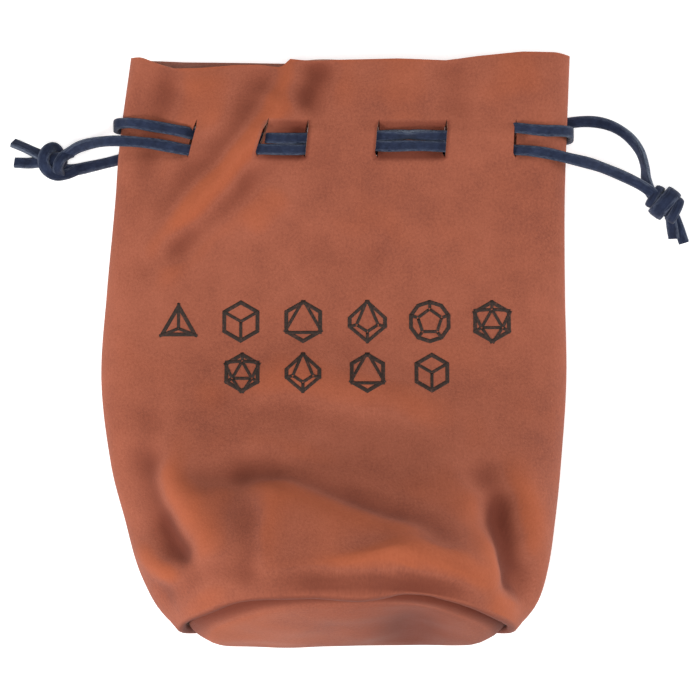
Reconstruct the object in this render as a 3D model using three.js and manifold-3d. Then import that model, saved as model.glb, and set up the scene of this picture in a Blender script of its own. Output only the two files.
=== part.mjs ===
// Drawstring dice bag of thin leather, empty and lying on its back, in millimetres.
// X runs across the bag, Y from the round base to the mouth, and Z up from the surface it lies on.
// The wall is one piece of leather, sewn into a tube at the back and turned in round a sewn base.
// Two flat laces weave through slots below the mouth, and each is knotted to itself at one side.
import * as THREE from "three";
import { mergeVertices } from "three/addons/utils/BufferGeometryUtils.js";
import Module from "manifold-3d";

const wasm = await Module();
wasm.setup();

// ---- Driving dimensions ----

const LEATHER = 1.2; // thickness of the wall and the base
const GAP = 0.3; // clearance between pieces that touch
const AROUND = 44; // points round each ring of the wall

const WALL_LENGTH = 175.2; // along the back, from the base seam to the mouth
const BASE_BACK_Y = -89.3;
const ROLL = 4; // outer radius of the leather where it turns in to the base seam
const ALLOWANCE = 2.5; // how far the seam's two turned-in edges stand up inside
const BACK_LIFT = 2.3; // the laces under the bag hold its back this far off the surface

// The empty bag's shape, at shares of the wall's length from the base seam to the mouth.
// front is the top of the ring as [y, z], sides are its left and right edges, and corner is the
// width of its rounded sides.
const STATIONS = [
  { along: 0.0, front: [-64.8, 72], sides: [-44, 51], corner: 30 },
  { along: 0.05, front: [-59.7, 65.6], sides: [-52, 58], corner: 31 },
  { along: 0.1, front: [-54.3, 59.2], sides: [-56.2, 60.5], corner: 32 },
  { along: 0.2, front: [-42.8, 47.4], sides: [-60.8, 63.1], corner: 32 },
  { along: 0.3, front: [-30, 37], sides: [-65.1, 65], corner: 31 },
  { along: 0.45, front: [-7, 25], sides: [-68.4, 67], corner: 27 },
  { along: 0.6, front: [18, 19], sides: [-67, 66.8], corner: 19 },
  { along: 0.75, front: [43.5, 17.4], sides: [-64.6, 66.7], corner: 12 },
  { along: 0.85, front: [60.5, 17], sides: [-63.3, 67.2], corner: 9 },
  { along: 1.0, front: [85.6, 16], sides: [-60, 68.2], corner: 8 },
];
const ROW_SHARES = [
  0.045, 0.075, 0.12, 0.17, 0.23, 0.3, 0.37, 0.45, 0.53, 0.61, 0.68, 0.75, 0.8, 0.85, 0.9, 0.95, 1,
];

const SLOT_Y = 60.6;
const SLOT_LENGTH = 10.8;
const SLOT_WIDTH = 4.6; // a slit that the two laces hold open
const SLOT_XS = [-42, -21.5, -8.8, 12, 31.6, 51.9]; // punched through front and back together

const LACE_WIDTH = 3.2;
const LACE_THICKNESS = 1.5;
const LACE_CHAMFER = 0.3;
const LACE_APART = 3.6; // between the middles of the two laces in a slot
const LACE_OFF = (LEATHER + LACE_THICKNESS) / 2 + 0.35; // from the leather's middle to a lace's
const SLOT_REACH = 2.1; // a lace is through a slot this far to either side of it
const END_INSIDE = 4.5; // the free ends and the turns run this far on inside the end slots
const CROSSING = [-3.5, 6.5]; // where the laces change places, hidden behind the middle of the front

const SEAM_X = -15; // the wall's own seam, inside the back
const SEAM_WIDTH = 5;
const THREAD_RADIUS = 0.35;

// ---- The shape of the bag ----

// A value of the stations at a share of the wall's length, by a cubic through its neighbours.
function between(pick, along) {
  const last = STATIONS.length - 1;
  const i = Math.min(last, Math.max(1, STATIONS.findIndex((s) => s.along >= along)));
  const slope = (k) => {
    const [a, b] = [STATIONS[Math.max(0, k - 1)], STATIONS[Math.min(last, k + 1)]];
    return (pick(b) - pick(a)) / (b.along - a.along);
  };
  const [from, to] = [STATIONS[i - 1], STATIONS[i]];
  const span = to.along - from.along;
  const t = (along - from.along) / span;
  const [t2, t3] = [t * t, t * t * t];
  return (
    pick(from) * (2 * t3 - 3 * t2 + 1) +
    pick(to) * (3 * t2 - 2 * t3) +
    span * (slope(i - 1) * (t3 - 2 * t2 + t) + slope(i) * (t3 - t2))
  );
}

// How far the back is off the surface: flat on it, then lifted towards the laces.
const backZ = (along) => BACK_LIFT * THREE.MathUtils.smoothstep(along, 0.58, 0.8);

// The ring at a share of the wall's length: its plane stands on the back and leans to the front.
function ringAt(along) {
  const back = new THREE.Vector3(0, BASE_BACK_Y + WALL_LENGTH * along, backZ(along));
  const front = new THREE.Vector3(
    0,
    between((s) => s.front[0], along),
    between((s) => s.front[1], along),
  );
  const up = front.clone().sub(back);
  const height = up.length();
  up.divideScalar(height);
  const left = between((s) => s.sides[0], along);
  const right = between((s) => s.sides[1], along);
  const corner = between((s) => s.corner, along);
  const outward = new THREE.Vector3(1, 0, 0).cross(up); // towards the base
  return { back, up, height, left, right, corner, outward };
}

// The ring's points, evenly spaced, moved in by inset and out of its plane by outward.
function ringPoints(ring, inset = 0, outward = 0) {
  const { height, left, right, corner } = ring;
  const middle = (left + right) / 2;
  const [flatLeft, flatRight] = [left + corner, right - corner];
  const path = new THREE.Path();
  path.moveTo(middle, 0);
  path.lineTo(flatRight, 0);
  path.absellipse(flatRight, height / 2, corner, height / 2, -Math.PI / 2, Math.PI / 2, false);
  path.lineTo(flatLeft, height);
  path.absellipse(flatLeft, height / 2, corner, height / 2, Math.PI / 2, 1.5 * Math.PI, false);
  path.lineTo(middle, 0);
  const points = path.getSpacedPoints(AROUND).slice(0, AROUND);
  return points.map((p, i) => {
    const along = points[(i + 1) % AROUND].clone().sub(points[(i + AROUND - 1) % AROUND]);
    const normal = new THREE.Vector2(along.y, -along.x).normalize();
    const at = p.clone().addScaledVector(normal, -inset);
    return new THREE.Vector3(at.x, 0, 0)
      .add(ring.back)
      .addScaledVector(ring.up, at.y)
      .addScaledVector(ring.outward, outward);
  });
}

// ---- Helpers ----

// A closed surface through rings of points: wrapped round into a ring itself, or capped at its ends.
function loft(rings, wrapped = false) {
  const around = rings[0].length;
  const positions = rings.flat().flatMap((p) => [p.x, p.y, p.z]);
  const index = [];
  const spans = wrapped ? rings.length : rings.length - 1;
  for (let i = 0; i < spans; i++) {
    const [here, next] = [i * around, ((i + 1) % rings.length) * around];
    for (let k = 0; k < around; k++) {
      const l = (k + 1) % around;
      index.push(here + k, here + l, next + l, here + k, next + l, next + k);
    }
  }
  if (!wrapped) {
    [rings[0], rings.at(-1)].forEach((ring, end) => {
      const centre = positions.length / 3;
      const middle = ring.reduce((sum, p) => sum.add(p), new THREE.Vector3());
      positions.push(...middle.divideScalar(around).toArray());
      const start = end ? (rings.length - 1) * around : 0;
      for (let k = 0; k < around; k++) {
        const [a, b] = [start + k, start + ((k + 1) % around)];
        index.push(centre, ...(end ? [a, b] : [b, a]));
      }
    });
  }
  const geometry = new THREE.BufferGeometry();
  geometry.setAttribute("position", new THREE.Float32BufferAttribute(positions, 3));
  geometry.setIndex(index);
  return geometry;
}

function solid(geometry) {
  const bare = new THREE.BufferGeometry();
  bare.setAttribute("position", geometry.getAttribute("position"));
  bare.setIndex(geometry.getIndex());
  const merged = mergeVertices(bare, 1e-4);
  return new wasm.Manifold(
    new wasm.Mesh({
      numProp: 3,
      vertProperties: new Float32Array(merged.getAttribute("position").array),
      triVerts: new Uint32Array(merged.getIndex().array),
    }),
  );
}

function geometryOf(manifold) {
  const mesh = manifold.getMesh();
  const geometry = new THREE.BufferGeometry();
  geometry.setAttribute("position", new THREE.BufferAttribute(mesh.vertProperties, 3));
  geometry.setIndex(new THREE.BufferAttribute(mesh.triVerts, 1));
  return geometry;
}

const MATERIALS = {
  leather: new THREE.MeshStandardMaterial({ color: 0xb0583c, roughness: 0.85, metalness: 0 }),
  lace: new THREE.MeshStandardMaterial({ color: 0x2b3550, roughness: 0.9, metalness: 0 }),
  thread: new THREE.MeshStandardMaterial({ color: 0x6b3524, roughness: 0.8, metalness: 0 }),
};

const bag = new THREE.Group();

function add(name, material, geometry) {
  geometry.computeVertexNormals();
  const mesh = new THREE.Mesh(geometry, MATERIALS[material]);
  mesh.name = name;
  bag.add(mesh);
}

const vector = ([x, y, z]) => new THREE.Vector3(x, y, z);

// ---- The wall ----

const rollRing = ringAt(ROLL / WALL_LENGTH);
const degrees = THREE.MathUtils.degToRad;

// The wall's surface at the base seam: the edge stands up inside, then the leather rolls outwards.
function rolledRows(radius) {
  const turn = [-90, -50, -15, 15, 50, 90].map((angle) => [
    ROLL - radius * Math.sin(degrees(angle)),
    radius * Math.cos(degrees(angle)),
  ]);
  return [[turn[0][0], -ALLOWANCE], ...turn].map(([inset, outward]) =>
    ringPoints(rollRing, inset, outward),
  );
}

function wallTube() {
  const rings = ROW_SHARES.map(ringAt);
  const outside = [...rolledRows(ROLL), ...rings.map((r) => ringPoints(r))];
  const inside = [...rolledRows(ROLL - LEATHER), ...rings.map((r) => ringPoints(r, LEATHER))];
  return solid(loft([...inside, ...outside.reverse()], true));
}

// The seam allowance along the inside of the back, pressed flat.
function seamAllowance() {
  const rows = [0.1, 0.35, 0.55, 0.62, 0.7, 0.78, 0.9, 0.985];
  const [low, high] = [LEATHER - 0.2, 2 * LEATHER];
  return solid(
    loft(
      rows.map((along) => {
        const y = BASE_BACK_Y + WALL_LENGTH * along;
        const [z0, z1] = [backZ(along) + low, backZ(along) + high];
        const [x0, x1] = [SEAM_X - SEAM_WIDTH / 2, SEAM_X + SEAM_WIDTH / 2];
        return [[x0, y, z0], [x0, y, z1], [x1, y, z1], [x1, y, z0]].map(vector);
      }),
    ),
  );
}

function slots() {
  const depth = 60; // right through front and back
  return SLOT_XS.map((x) =>
    solid(
      new THREE.BoxGeometry(SLOT_WIDTH, SLOT_LENGTH, depth).translate(x, SLOT_Y, 0),
    ),
  );
}

const wall = slots().reduce((left, slot) => left.subtract(slot), wallTube().add(seamAllowance()));
add("wall", "leather", geometryOf(wall));

// ---- The base ----

// A flat round panel whose turned-up edge stands inside the wall's own turned-in edge.
function basePanel() {
  const face = ROLL + 0.2; // proud of the rolled wall, so the bag stands on it
  const [near, far] = [ROLL + GAP + 0.05, ROLL + GAP + 0.05 + LEATHER];
  const round = (radius, angle) => [
    ROLL + radius * Math.sin(degrees(angle)),
    radius * Math.cos(degrees(angle)),
  ];
  const profile = [
    [ROLL + 1.3, face],
    round(near, 38),
    round(near, 65),
    [ROLL + near, 0],
    [ROLL + near, -ALLOWANCE],
    [ROLL + far, -ALLOWANCE],
    [ROLL + far, 0],
    [ROLL + far + 0.1, face - LEATHER - 0.6],
    [ROLL + far + 1.2, face - LEATHER],
  ];
  return loft(profile.reverse().map(([inset, outward]) => ringPoints(rollRing, inset, outward)));
}
add("base", "leather", basePanel());

// ---- The sewing thread ----

function tubeRing(centre, across, up, radius, sides) {
  return Array.from({ length: sides }, (_, k) => {
    const angle = (2 * Math.PI * k) / sides;
    return centre
      .clone()
      .addScaledVector(across, radius * Math.cos(angle))
      .addScaledVector(up, radius * Math.sin(angle));
  });
}

// Round the inside of the two edges of the base seam.
function baseThread() {
  const inset = 2 * ROLL + GAP + 0.05 + LEATHER + GAP + THREAD_RADIUS;
  const height = -0.6 * ALLOWANCE;
  const rows = [0, -72, -144, -216, -288].map((angle) =>
    ringPoints(
      rollRing,
      inset + THREAD_RADIUS * Math.cos(degrees(angle)),
      height + THREAD_RADIUS * Math.sin(degrees(angle)),
    ),
  );
  return loft(rows, true);
}
add("base_seam_thread", "thread", baseThread());

// Along the allowance of the wall's own seam.
function backThread() {
  const rows = [0.11, 0.35, 0.55, 0.62, 0.7, 0.78, 0.9, 0.975];
  const height = 2 * LEATHER + GAP + THREAD_RADIUS;
  const [across, up] = [new THREE.Vector3(1, 0, 0), new THREE.Vector3(0, 0, 1)];
  return loft(
    rows.map((along) => {
      const centre = vector([SEAM_X, BASE_BACK_Y + WALL_LENGTH * along, backZ(along) + height]);
      return tubeRing(centre, across, up, THREAD_RADIUS, 6).reverse();
    }),
  );
}
add("back_seam_thread", "thread", backThread());

// ---- The laces ----

const SLOT_ALONG = (SLOT_Y - BASE_BACK_Y) / WALL_LENGTH;
const FRONT_Z = between((s) => s.front[1], SLOT_ALONG) - LEATHER / 2;
const BACK_Z = BACK_LIFT + LEATHER / 2;
const FACES = { front: [FRONT_Z, 1], back: [BACK_Z, -1] }; // middle of the leather, and its outside

const LEVELS = { upper: SLOT_Y + LACE_APART / 2, lower: SLOT_Y - LACE_APART / 2 };
const laceZ = (face, outside) => FACES[face][0] + FACES[face][1] * LACE_OFF * outside;

// The stretch of a lace from just inside the first slot to just inside the last one.
// It changes from one side of the leather to the other at each slot between them.
function wovenRoute(face, levelFrom, levelTo, under) {
  const points = [[SLOT_XS[0] + END_INSIDE, -1]];
  SLOT_XS.slice(1, -1).forEach((x, i) => {
    const outside = i % 2 ? 1 : -1; // the lace's side of the leather before this slot
    points.push([x - SLOT_REACH, outside]);
    points.push([x + SLOT_REACH, -outside]);
  });
  points.push([SLOT_XS.at(-1) - END_INSIDE, -1]);
  const swaps = levelFrom !== levelTo;
  if (swaps) {
    const [from, to] = CROSSING;
    points.push([from, -1], [(from + to) / 2, -1], [to, -1]);
    points.sort((a, b) => a[0] - b[0]);
  }
  return points.map(([x, outside]) => {
    const share = swaps ? THREE.MathUtils.smoothstep(x, ...CROSSING) : 0;
    const y = THREE.MathUtils.lerp(LEVELS[levelFrom], LEVELS[levelTo], share);
    const crossing = under && x >= CROSSING[0] && x <= CROSSING[1];
    const deeper = crossing ? FACES[face][1] * (LACE_THICKNESS + 0.35) : 0;
    return [x, y, laceZ(face, outside) - deeper];
  });
}

// A lace's end or turn enters its slot from inside: two points inside the bag, then one outside.
function throughSlot(x, direction, level, face) {
  return [
    [x - direction * (END_INSIDE - GAP), LEVELS[level], laceZ(face, -1)],
    [x - direction * SLOT_REACH, LEVELS[level], laceZ(face, -1)],
    [x + direction * SLOT_REACH, LEVELS[level], laceZ(face, 1)],
  ];
}

const [LEFT_SLOT, RIGHT_SLOT] = [SLOT_XS[0], SLOT_XS.at(-1)];

// Each lace turns round the far side of the bag, and its ends come out at its own side.
const TURNS = {
  left_lace: [
    ...throughSlot(RIGHT_SLOT, 1, "upper", "front"),
    [60, 62.4, 18.2],
    [67, 62.6, 16.8],
    [71, 62.4, 12.8],
    [71.8, 60.8, 9],
    [70, 59, 5.2],
    [66, 58.8, 2.3],
    [60, 58.8, 1.3],
    ...throughSlot(RIGHT_SLOT, 1, "lower", "back").reverse(),
  ],
  right_lace: [
    ...throughSlot(LEFT_SLOT, -1, "upper", "front"),
    [-50, 64.6, 18.2],
    [-57, 66.2, 18],
    [-63, 67.4, 15.8],
    [-66, 67.6, 11.5],
    [-66.2, 67.2, 7],
    [-63, 66.4, 2.6],
    [-56, 64.8, 1.4],
    ...throughSlot(LEFT_SLOT, -1, "upper", "back").reverse(),
  ],
};

const ENDS = {
  left_lace: {
    front: [
      ...throughSlot(LEFT_SLOT, -1, "lower", "front"),
      [-53.2, 60.1, 18.2],
      [-61, 60.6, 18],
      [-66.5, 60.6, 15.6],
      [-71.5, 60.3, 11.6],
      [-76, 59.4, 8],
      [-79.2, 58.2, 6],
    ],
    back: [
      ...throughSlot(LEFT_SLOT, -1, "lower", "back"),
      [-53, 57.9, 1.1],
      [-61, 56.8, 1.1],
      [-67, 55.4, 1.1],
      [-73, 53.9, 1.4],
      [-78, 52.9, 2.4],
    ],
    knot: { at: [-82.6, 55.4, 4.1], size: [8.4, 9.4, 7.4] },
    tails: {
      upper: [
        [-87, 57.3, 4.4],
        [-91, 59, 3],
        [-95, 60.6, 1.6],
      ],
      lower: [
        [-87.2, 54.4, 3],
        [-90.6, 54.7, 1.6],
        [-94.4, 55.6, 1],
      ],
    },
  },
  right_lace: {
    front: [
      ...throughSlot(RIGHT_SLOT, 1, "lower", "front"),
      [61.6, 56.6, 18.2],
      [68.5, 55.2, 17.4],
      [74.5, 54.1, 14],
      [80, 52.6, 10.4],
      [85.5, 50.6, 8],
      [90, 48.4, 7],
      [92.4, 46.9, 6.6],
    ],
    back: [
      ...throughSlot(RIGHT_SLOT, 1, "upper", "back"),
      [61, 65.2, 1.1],
      [69.5, 67.2, 1.1],
      [76, 67.4, 1.1],
      [81.4, 66.1, 1.1],
      [86, 63.6, 1.1],
      [89.4, 60.2, 1.1],
      [91.3, 56, 1.1],
      [91.6, 51, 1.2],
      [91.4, 47.6, 1.6],
      [91.4, 45.4, 2],
    ],
    knot: { at: [97, 42.8, 4.4], size: [9.4, 10.4, 7.8] },
    tails: {
      upper: [
        [100.6, 38.4, 4],
        [101.8, 34.6, 2.6],
        [103.2, 30.4, 1.4],
      ],
      lower: [
        [96.4, 36.8, 2.4],
        [97.6, 34.4, 1.4],
        [98.6, 31.2, 1],
      ],
    },
  },
};

// A flat lace along a route. Its width stays level, or along Y where it turns round the bag's side.
function laceAlong(route, { upright = false, steps = 2 } = {}) {
  const curve = new THREE.CatmullRomCurve3(route.map(vector));
  const count = steps * (route.length - 1);
  const [w, t, c] = [LACE_WIDTH / 2, LACE_THICKNESS / 2, LACE_CHAMFER];
  const section = [
    [w, t - c], [w - c, t], [c - w, t], [-w, t - c], [-w, c - t], [c - w, -t], [w - c, -t], [w, c - t],
  ];
  const rings = Array.from({ length: count + 1 }, (_, i) => {
    const at = curve.getPoint(i / count);
    const tangent = curve.getTangent(i / count);
    const across = upright
      ? new THREE.Vector3(0, 1, 0).addScaledVector(tangent, -tangent.y).normalize()
      : new THREE.Vector3(0, 0, 1).cross(tangent).normalize();
    const up = tangent.clone().cross(across);
    return section.map(([x, y]) =>
      at.clone().addScaledVector(across, x).addScaledVector(up, y),
    );
  });
  return loft(rings);
}

for (const [lace, ends] of Object.entries(ENDS)) {
  const front = lace === "left_lace" ? ["lower", "upper"] : ["upper", "lower"];
  const back = lace === "left_lace" ? ["lower", "lower"] : ["upper", "upper"];
  const under = lace === "right_lace";
  add(`${lace}_front_weave`, "lace", laceAlong(wovenRoute("front", ...front, under), { steps: 1 }));
  add(`${lace}_back_weave`, "lace", laceAlong(wovenRoute("back", ...back, false), { steps: 1 }));
  add(`${lace}_turn`, "lace", laceAlong(TURNS[lace], { upright: true }));
  add(`${lace}_front_end`, "lace", laceAlong(ends.front));
  add(`${lace}_back_end`, "lace", laceAlong(ends.back));
  const knot = new THREE.SphereGeometry(0.5, 12, 8).scale(...ends.knot.size);
  add(`${lace}_knot`, "lace", knot.translate(...ends.knot.at));
  add(`${lace}_tail_upper`, "lace", laceAlong(ends.tails.upper));
  add(`${lace}_tail_lower`, "lace", laceAlong(ends.tails.lower));
}

export default bag;
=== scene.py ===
"""The drawstring dice bag's looks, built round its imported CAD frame.

Lengths are in millimetres until a mesh is made. X runs across the bag, Y from the base to the mouth,
and Z up from the floor. The bag is empty and lies on its back.
"""

import math

import bpy
import numpy as np
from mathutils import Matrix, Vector
from mathutils.bvhtree import BVHTree
from mathutils.kdtree import KDTree


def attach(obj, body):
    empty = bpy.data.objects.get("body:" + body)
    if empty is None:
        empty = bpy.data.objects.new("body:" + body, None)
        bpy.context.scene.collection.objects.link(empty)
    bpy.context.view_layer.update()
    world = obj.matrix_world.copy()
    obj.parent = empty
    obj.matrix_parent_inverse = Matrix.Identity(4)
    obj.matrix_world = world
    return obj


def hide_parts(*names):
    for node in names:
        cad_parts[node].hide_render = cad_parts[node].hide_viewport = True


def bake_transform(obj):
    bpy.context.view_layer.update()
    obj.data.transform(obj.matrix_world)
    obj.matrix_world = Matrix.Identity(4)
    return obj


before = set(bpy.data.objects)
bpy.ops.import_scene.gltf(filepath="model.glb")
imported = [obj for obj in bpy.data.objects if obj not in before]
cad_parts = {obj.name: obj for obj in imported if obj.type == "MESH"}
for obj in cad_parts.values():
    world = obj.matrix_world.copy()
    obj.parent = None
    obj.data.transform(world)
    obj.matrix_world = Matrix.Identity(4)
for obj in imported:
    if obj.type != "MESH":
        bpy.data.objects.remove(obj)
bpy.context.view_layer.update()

MM = 0.001
rng = np.random.default_rng(7)

# ---- Camera ----

CAMERA_HEIGHT = 0.95
CAMERA_X = 0.004
SEEN_WIDTH = 0.2065  # of the floor, from edge to edge of the picture

camera_data = bpy.data.cameras.new("camera")
camera_data.sensor_width = 36
camera_data.lens = 36 * CAMERA_HEIGHT / SEEN_WIDTH
camera = bpy.data.objects.new("camera", camera_data)
camera.location = (CAMERA_X, 0, CAMERA_HEIGHT)
bpy.context.scene.collection.objects.link(camera)
bpy.context.scene.camera = camera

# ---- The bag's shape: the CAD model's, with a rounder ring at the base seam ----

LEATHER = 1.2  # its thickness
WALL_LENGTH = 175.2
GIRTH = 286  # of the flat wall
BASE_BACK_Y = -89.3
BACK_LIFT = 2.3  # how far the mouth's back is off the floor

# share of the wall's length, the top of the ring as (y, z), its left and right edges, and the
# width of its rounded sides
STATIONS = [
    (0.0, (-66.6, 71.4), (-42.4, 48.8), 43),
    (0.05, (-60.4, 65.4), (-51.6, 57.4), 40),
    (0.1, (-54.3, 59.2), (-56.2, 60.5), 36),
    (0.2, (-42.8, 47.4), (-60.8, 63.1), 32),
    (0.3, (-30, 37), (-65.1, 65), 31),
    (0.45, (-7, 25), (-68.4, 67), 27),
    (0.6, (18, 19), (-67, 66.8), 19),
    (0.75, (43.5, 17.4), (-64.6, 66.7), 12),
    (0.85, (60.5, 17), (-63.3, 67.2), 9),
    (1.0, (85.6, 16), (-60, 68.2), 8),
]
ALONG = np.array([s[0] for s in STATIONS])
STATION_TABLE = np.array([[*s[1], *s[2], s[3]] for s in STATIONS], float)

SLOT_Y = 60.6
SLIT_HALF = 5.9  # half of a slit's length
SLOT_XS = [-42, -21.5, -8.8, 12, 31.6, 51.9]
END_SLOT_X = {-1: SLOT_XS[0], 1: SLOT_XS[-1]}  # by side
SLOT_LEANS = [0.18, 0.26, 0.03, 0.01, 0.02, 0.0]  # how far each front slit leans, mm per mm of height
SLOT_ALONG = (SLOT_Y - BASE_BACK_Y) / WALL_LENGTH
SEAM_X = -15  # of the back seam

ROLL = 1.6  # outer radius of the leather where it turns in to the base seam
ROLL_ALONG = 0.0165  # the share of the length where the roll starts
# how far the base seam is moved along Y, by its share of the height: tucked under at the back, and
# drawn out at the sides
SEAM_SHIFT = np.array([(0, 4.2), (0.15, 2.4), (0.35, -1.2), (0.5, -2.8), (0.75, -2.8), (0.9, -1.1),
                       (1, 0)], float)

PINCH_FROM, PINCH_TO = 0.1, 0.78  # shares of the length between which the bag starts to draw in


def smooth(a, b, x):
    t = np.clip((np.asarray(x, float) - a) / (b - a), 0, 1)
    return t * t * (3 - 2 * t)


def eased(knots, values, at):
    """A smooth curve through values at knots."""
    knots, values, at = np.asarray(knots, float), np.asarray(values, float), np.asarray(at, float)
    last = len(knots) - 1
    i = np.clip(np.searchsorted(knots, at), 1, last)
    before, after = np.maximum(np.arange(last + 1) - 1, 0), np.minimum(np.arange(last + 1) + 1, last)
    slopes = (values[after] - values[before]) / (knots[after] - knots[before])[:, None]
    span = (knots[i] - knots[i - 1])[:, None]
    t = (at[:, None] - knots[i - 1][:, None]) / span
    t2, t3 = t * t, t * t * t
    start, finish = values[i - 1], values[i]
    bend = span * (slopes[i - 1] * (t3 - 2 * t2 + t) + slopes[i] * (t3 - t2))
    return start * (2 * t3 - 3 * t2 + 1) + finish * (3 * t2 - 2 * t3) + bend


def unit(vectors):
    """Vectors with a length of 1."""
    return vectors / np.linalg.norm(vectors, axis=-1, keepdims=True)


def lengths_along(points):
    """How far along a line of points each of them is."""
    return np.concatenate([[0], np.cumsum(np.linalg.norm(np.diff(points, axis=0), axis=1))])


def lattice(rows, columns, closed=False, flip=False):
    """Quads between rows of points whose columns close round. With closed, the rows do too."""
    quads = []
    for row in range(rows if closed else rows - 1):
        here, beyond = row * columns, (row + 1) % rows * columns
        for column in range(columns):
            after = (column + 1) % columns
            a, b, c, d = here + column, here + after, beyond + after, beyond + column
            quads.append([a, d, c, b] if flip else [a, b, c, d])
    return quads


def caps(rows, columns):
    """Faces that close the two ends of a lattice, facing out."""
    return [list(range(columns))[::-1], list(range((rows - 1) * columns, rows * columns))]


def stations_at(along):
    """The stations' values at shares of the wall's length."""
    return eased(ALONG, STATION_TABLE, np.atleast_1d(along))


def back_height(along):
    return BACK_LIFT * smooth(0.58, 0.8, along)


class Ring:
    """The wall's outline at a share of its length, on a plane that leans from the back to the front."""

    def __init__(self, along):
        front_y, front_z, self.left, self.right, self.corner = stations_at(along)[0]
        self.back = np.array([0, BASE_BACK_Y + WALL_LENGTH * along, float(back_height(along))])
        up = np.array([0, front_y, front_z]) - self.back
        self.height = np.linalg.norm(up)
        self.up = unit(up)
        self.outward = np.cross([1, 0, 0], self.up)  # towards the base
        self.at_seam = float(smooth(0.085, ROLL_ALONG, along))

    def outline(self, inset=0.0):
        """Closely spaced (x, height) points from the left edge, over the front, and back underneath."""
        left, right = self.left + inset, self.right - inset
        corner, half = self.corner - inset, self.height / 2 - inset
        quarter = np.linspace(0, math.pi / 2, 40)
        top_left = [left + corner - corner * np.cos(quarter), half * np.sin(quarter)]
        top_right = [right - corner + corner * np.sin(quarter), half * np.cos(quarter)]
        points = np.concatenate([top_left, top_right], axis=1).T
        under = points[::-1] * [1, -1]
        return np.concatenate([points, under[1:]]) + [0, self.height / 2]

    def place(self, flat, outward=0.0):
        """(x, height) points of the ring's plane, in space, moved off it towards the base."""
        flat = np.asarray(flat, float)
        at = self.back + flat[:, 1:] * self.up + outward * self.outward
        at[:, 0] += flat[:, 0]
        shift = eased(SEAM_SHIFT[:, 0], SEAM_SHIFT[:, 1:], np.clip(flat[:, 1] / self.height, 0, 1))
        at[:, 1] += self.at_seam * shift[:, 0]
        return at


def at_shares(outline, shares):
    """The points of an outline at shares of its length."""
    length = lengths_along(outline)
    at = np.asarray(shares) * length[-1]
    return np.stack([np.interp(at, length, outline[:, k]) for k in (0, 1)], axis=1)


# ---- The wall's grid ----

slot_ring = Ring(SLOT_ALONG)


def share_at(x):
    """The share of the slot ring's length, from its left edge, at x on the front."""
    outline = slot_ring.outline()
    length = lengths_along(outline)
    front = len(outline) // 2
    return float(np.interp(x, outline[:front, 0], length[:front]) / length[-1])


FRONT_MARKS = sorted([*SLOT_XS, 0])
BACK_MARKS = sorted([*SLOT_XS, 0, SEAM_X], reverse=True)
MARKS = [0, *map(share_at, FRONT_MARKS), 0.5, *[1 - share_at(x) for x in BACK_MARKS], 1]
MARK_XS = [None, *FRONT_MARKS, None, *BACK_MARKS, None]
STEP = 1.25  # between the grid's rows and columns


def spaced_between(marks, length, step):
    """Values from the first mark to the last, about a step apart, that include every mark."""
    values, at = [marks[0]], [0]
    for a, b in zip(marks, marks[1:]):
        count = max(1, round((b - a) * length / step))
        values += list(a + (b - a) * np.arange(1, count + 1) / count)
        at.append(len(values) - 1)
    return np.array(values), at


SHARES, MARK_COLUMNS = spaced_between(MARKS, GIRTH, STEP)
SHARES = SHARES[:-1]  # the last column is the first again
COLUMNS = len(SHARES)

slit_marks = [SLOT_ALONG - SLIT_HALF / WALL_LENGTH, SLOT_ALONG + SLIT_HALF / WALL_LENGTH]
ROW_MARKS = [0.024, 0.1, *slit_marks, 1]
ROWS, row_at = spaced_between(ROW_MARKS, WALL_LENGTH, STEP)
SLIT_ROWS = (row_at[2], row_at[3])

ROLL_ANGLES = [205, 180, 155, 130, 105, 80, 55, 30]  # of the turned-in edge, round the roll

column_at = {x: c for x, c in zip(MARK_XS[1:8], MARK_COLUMNS[1:8])}
back_column_at = {x: c for x, c in zip(MARK_XS[9:-1], MARK_COLUMNS[9:-1])}
SPLIT_FRONT, SPLIT_BACK = column_at[0], back_column_at[0]
SEAM_COLUMN = back_column_at[SEAM_X]


def wall_grid():
    """The wall's outside before it is folded: positions by row and column, the rows' shares, and
    how far each row is round the roll at the base seam."""
    rows = []
    roll_ring = Ring(ROLL_ALONG)
    for angle in ROLL_ANGLES:
        a = math.radians(angle)
        inset = ROLL - ROLL * math.cos(a)
        flat = at_shares(roll_ring.outline(inset), SHARES)
        rows.append(roll_ring.place(flat, ROLL * math.sin(a)))
    for along in ROWS:
        ring = Ring(along)
        rows.append(ring.place(at_shares(ring.outline(), SHARES)))
    along = np.concatenate([np.full(len(ROLL_ANGLES), ROLL_ALONG), ROWS])
    return np.array(rows), along


GRID, GRID_ALONG = wall_grid()
ROLL_ROWS = len(ROLL_ANGLES)
ON_FRONT = SHARES < 0.5
# 1 on the front or on the back, and 0 at the bag's edges and on the other side
FRONTNESS = smooth(0, 0.035, SHARES) * smooth(0.5, 0.465, SHARES)
BACKNESS = smooth(0.5, 0.535, SHARES) * smooth(1, 0.965, SHARES)

# ---- Folds ----

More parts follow.
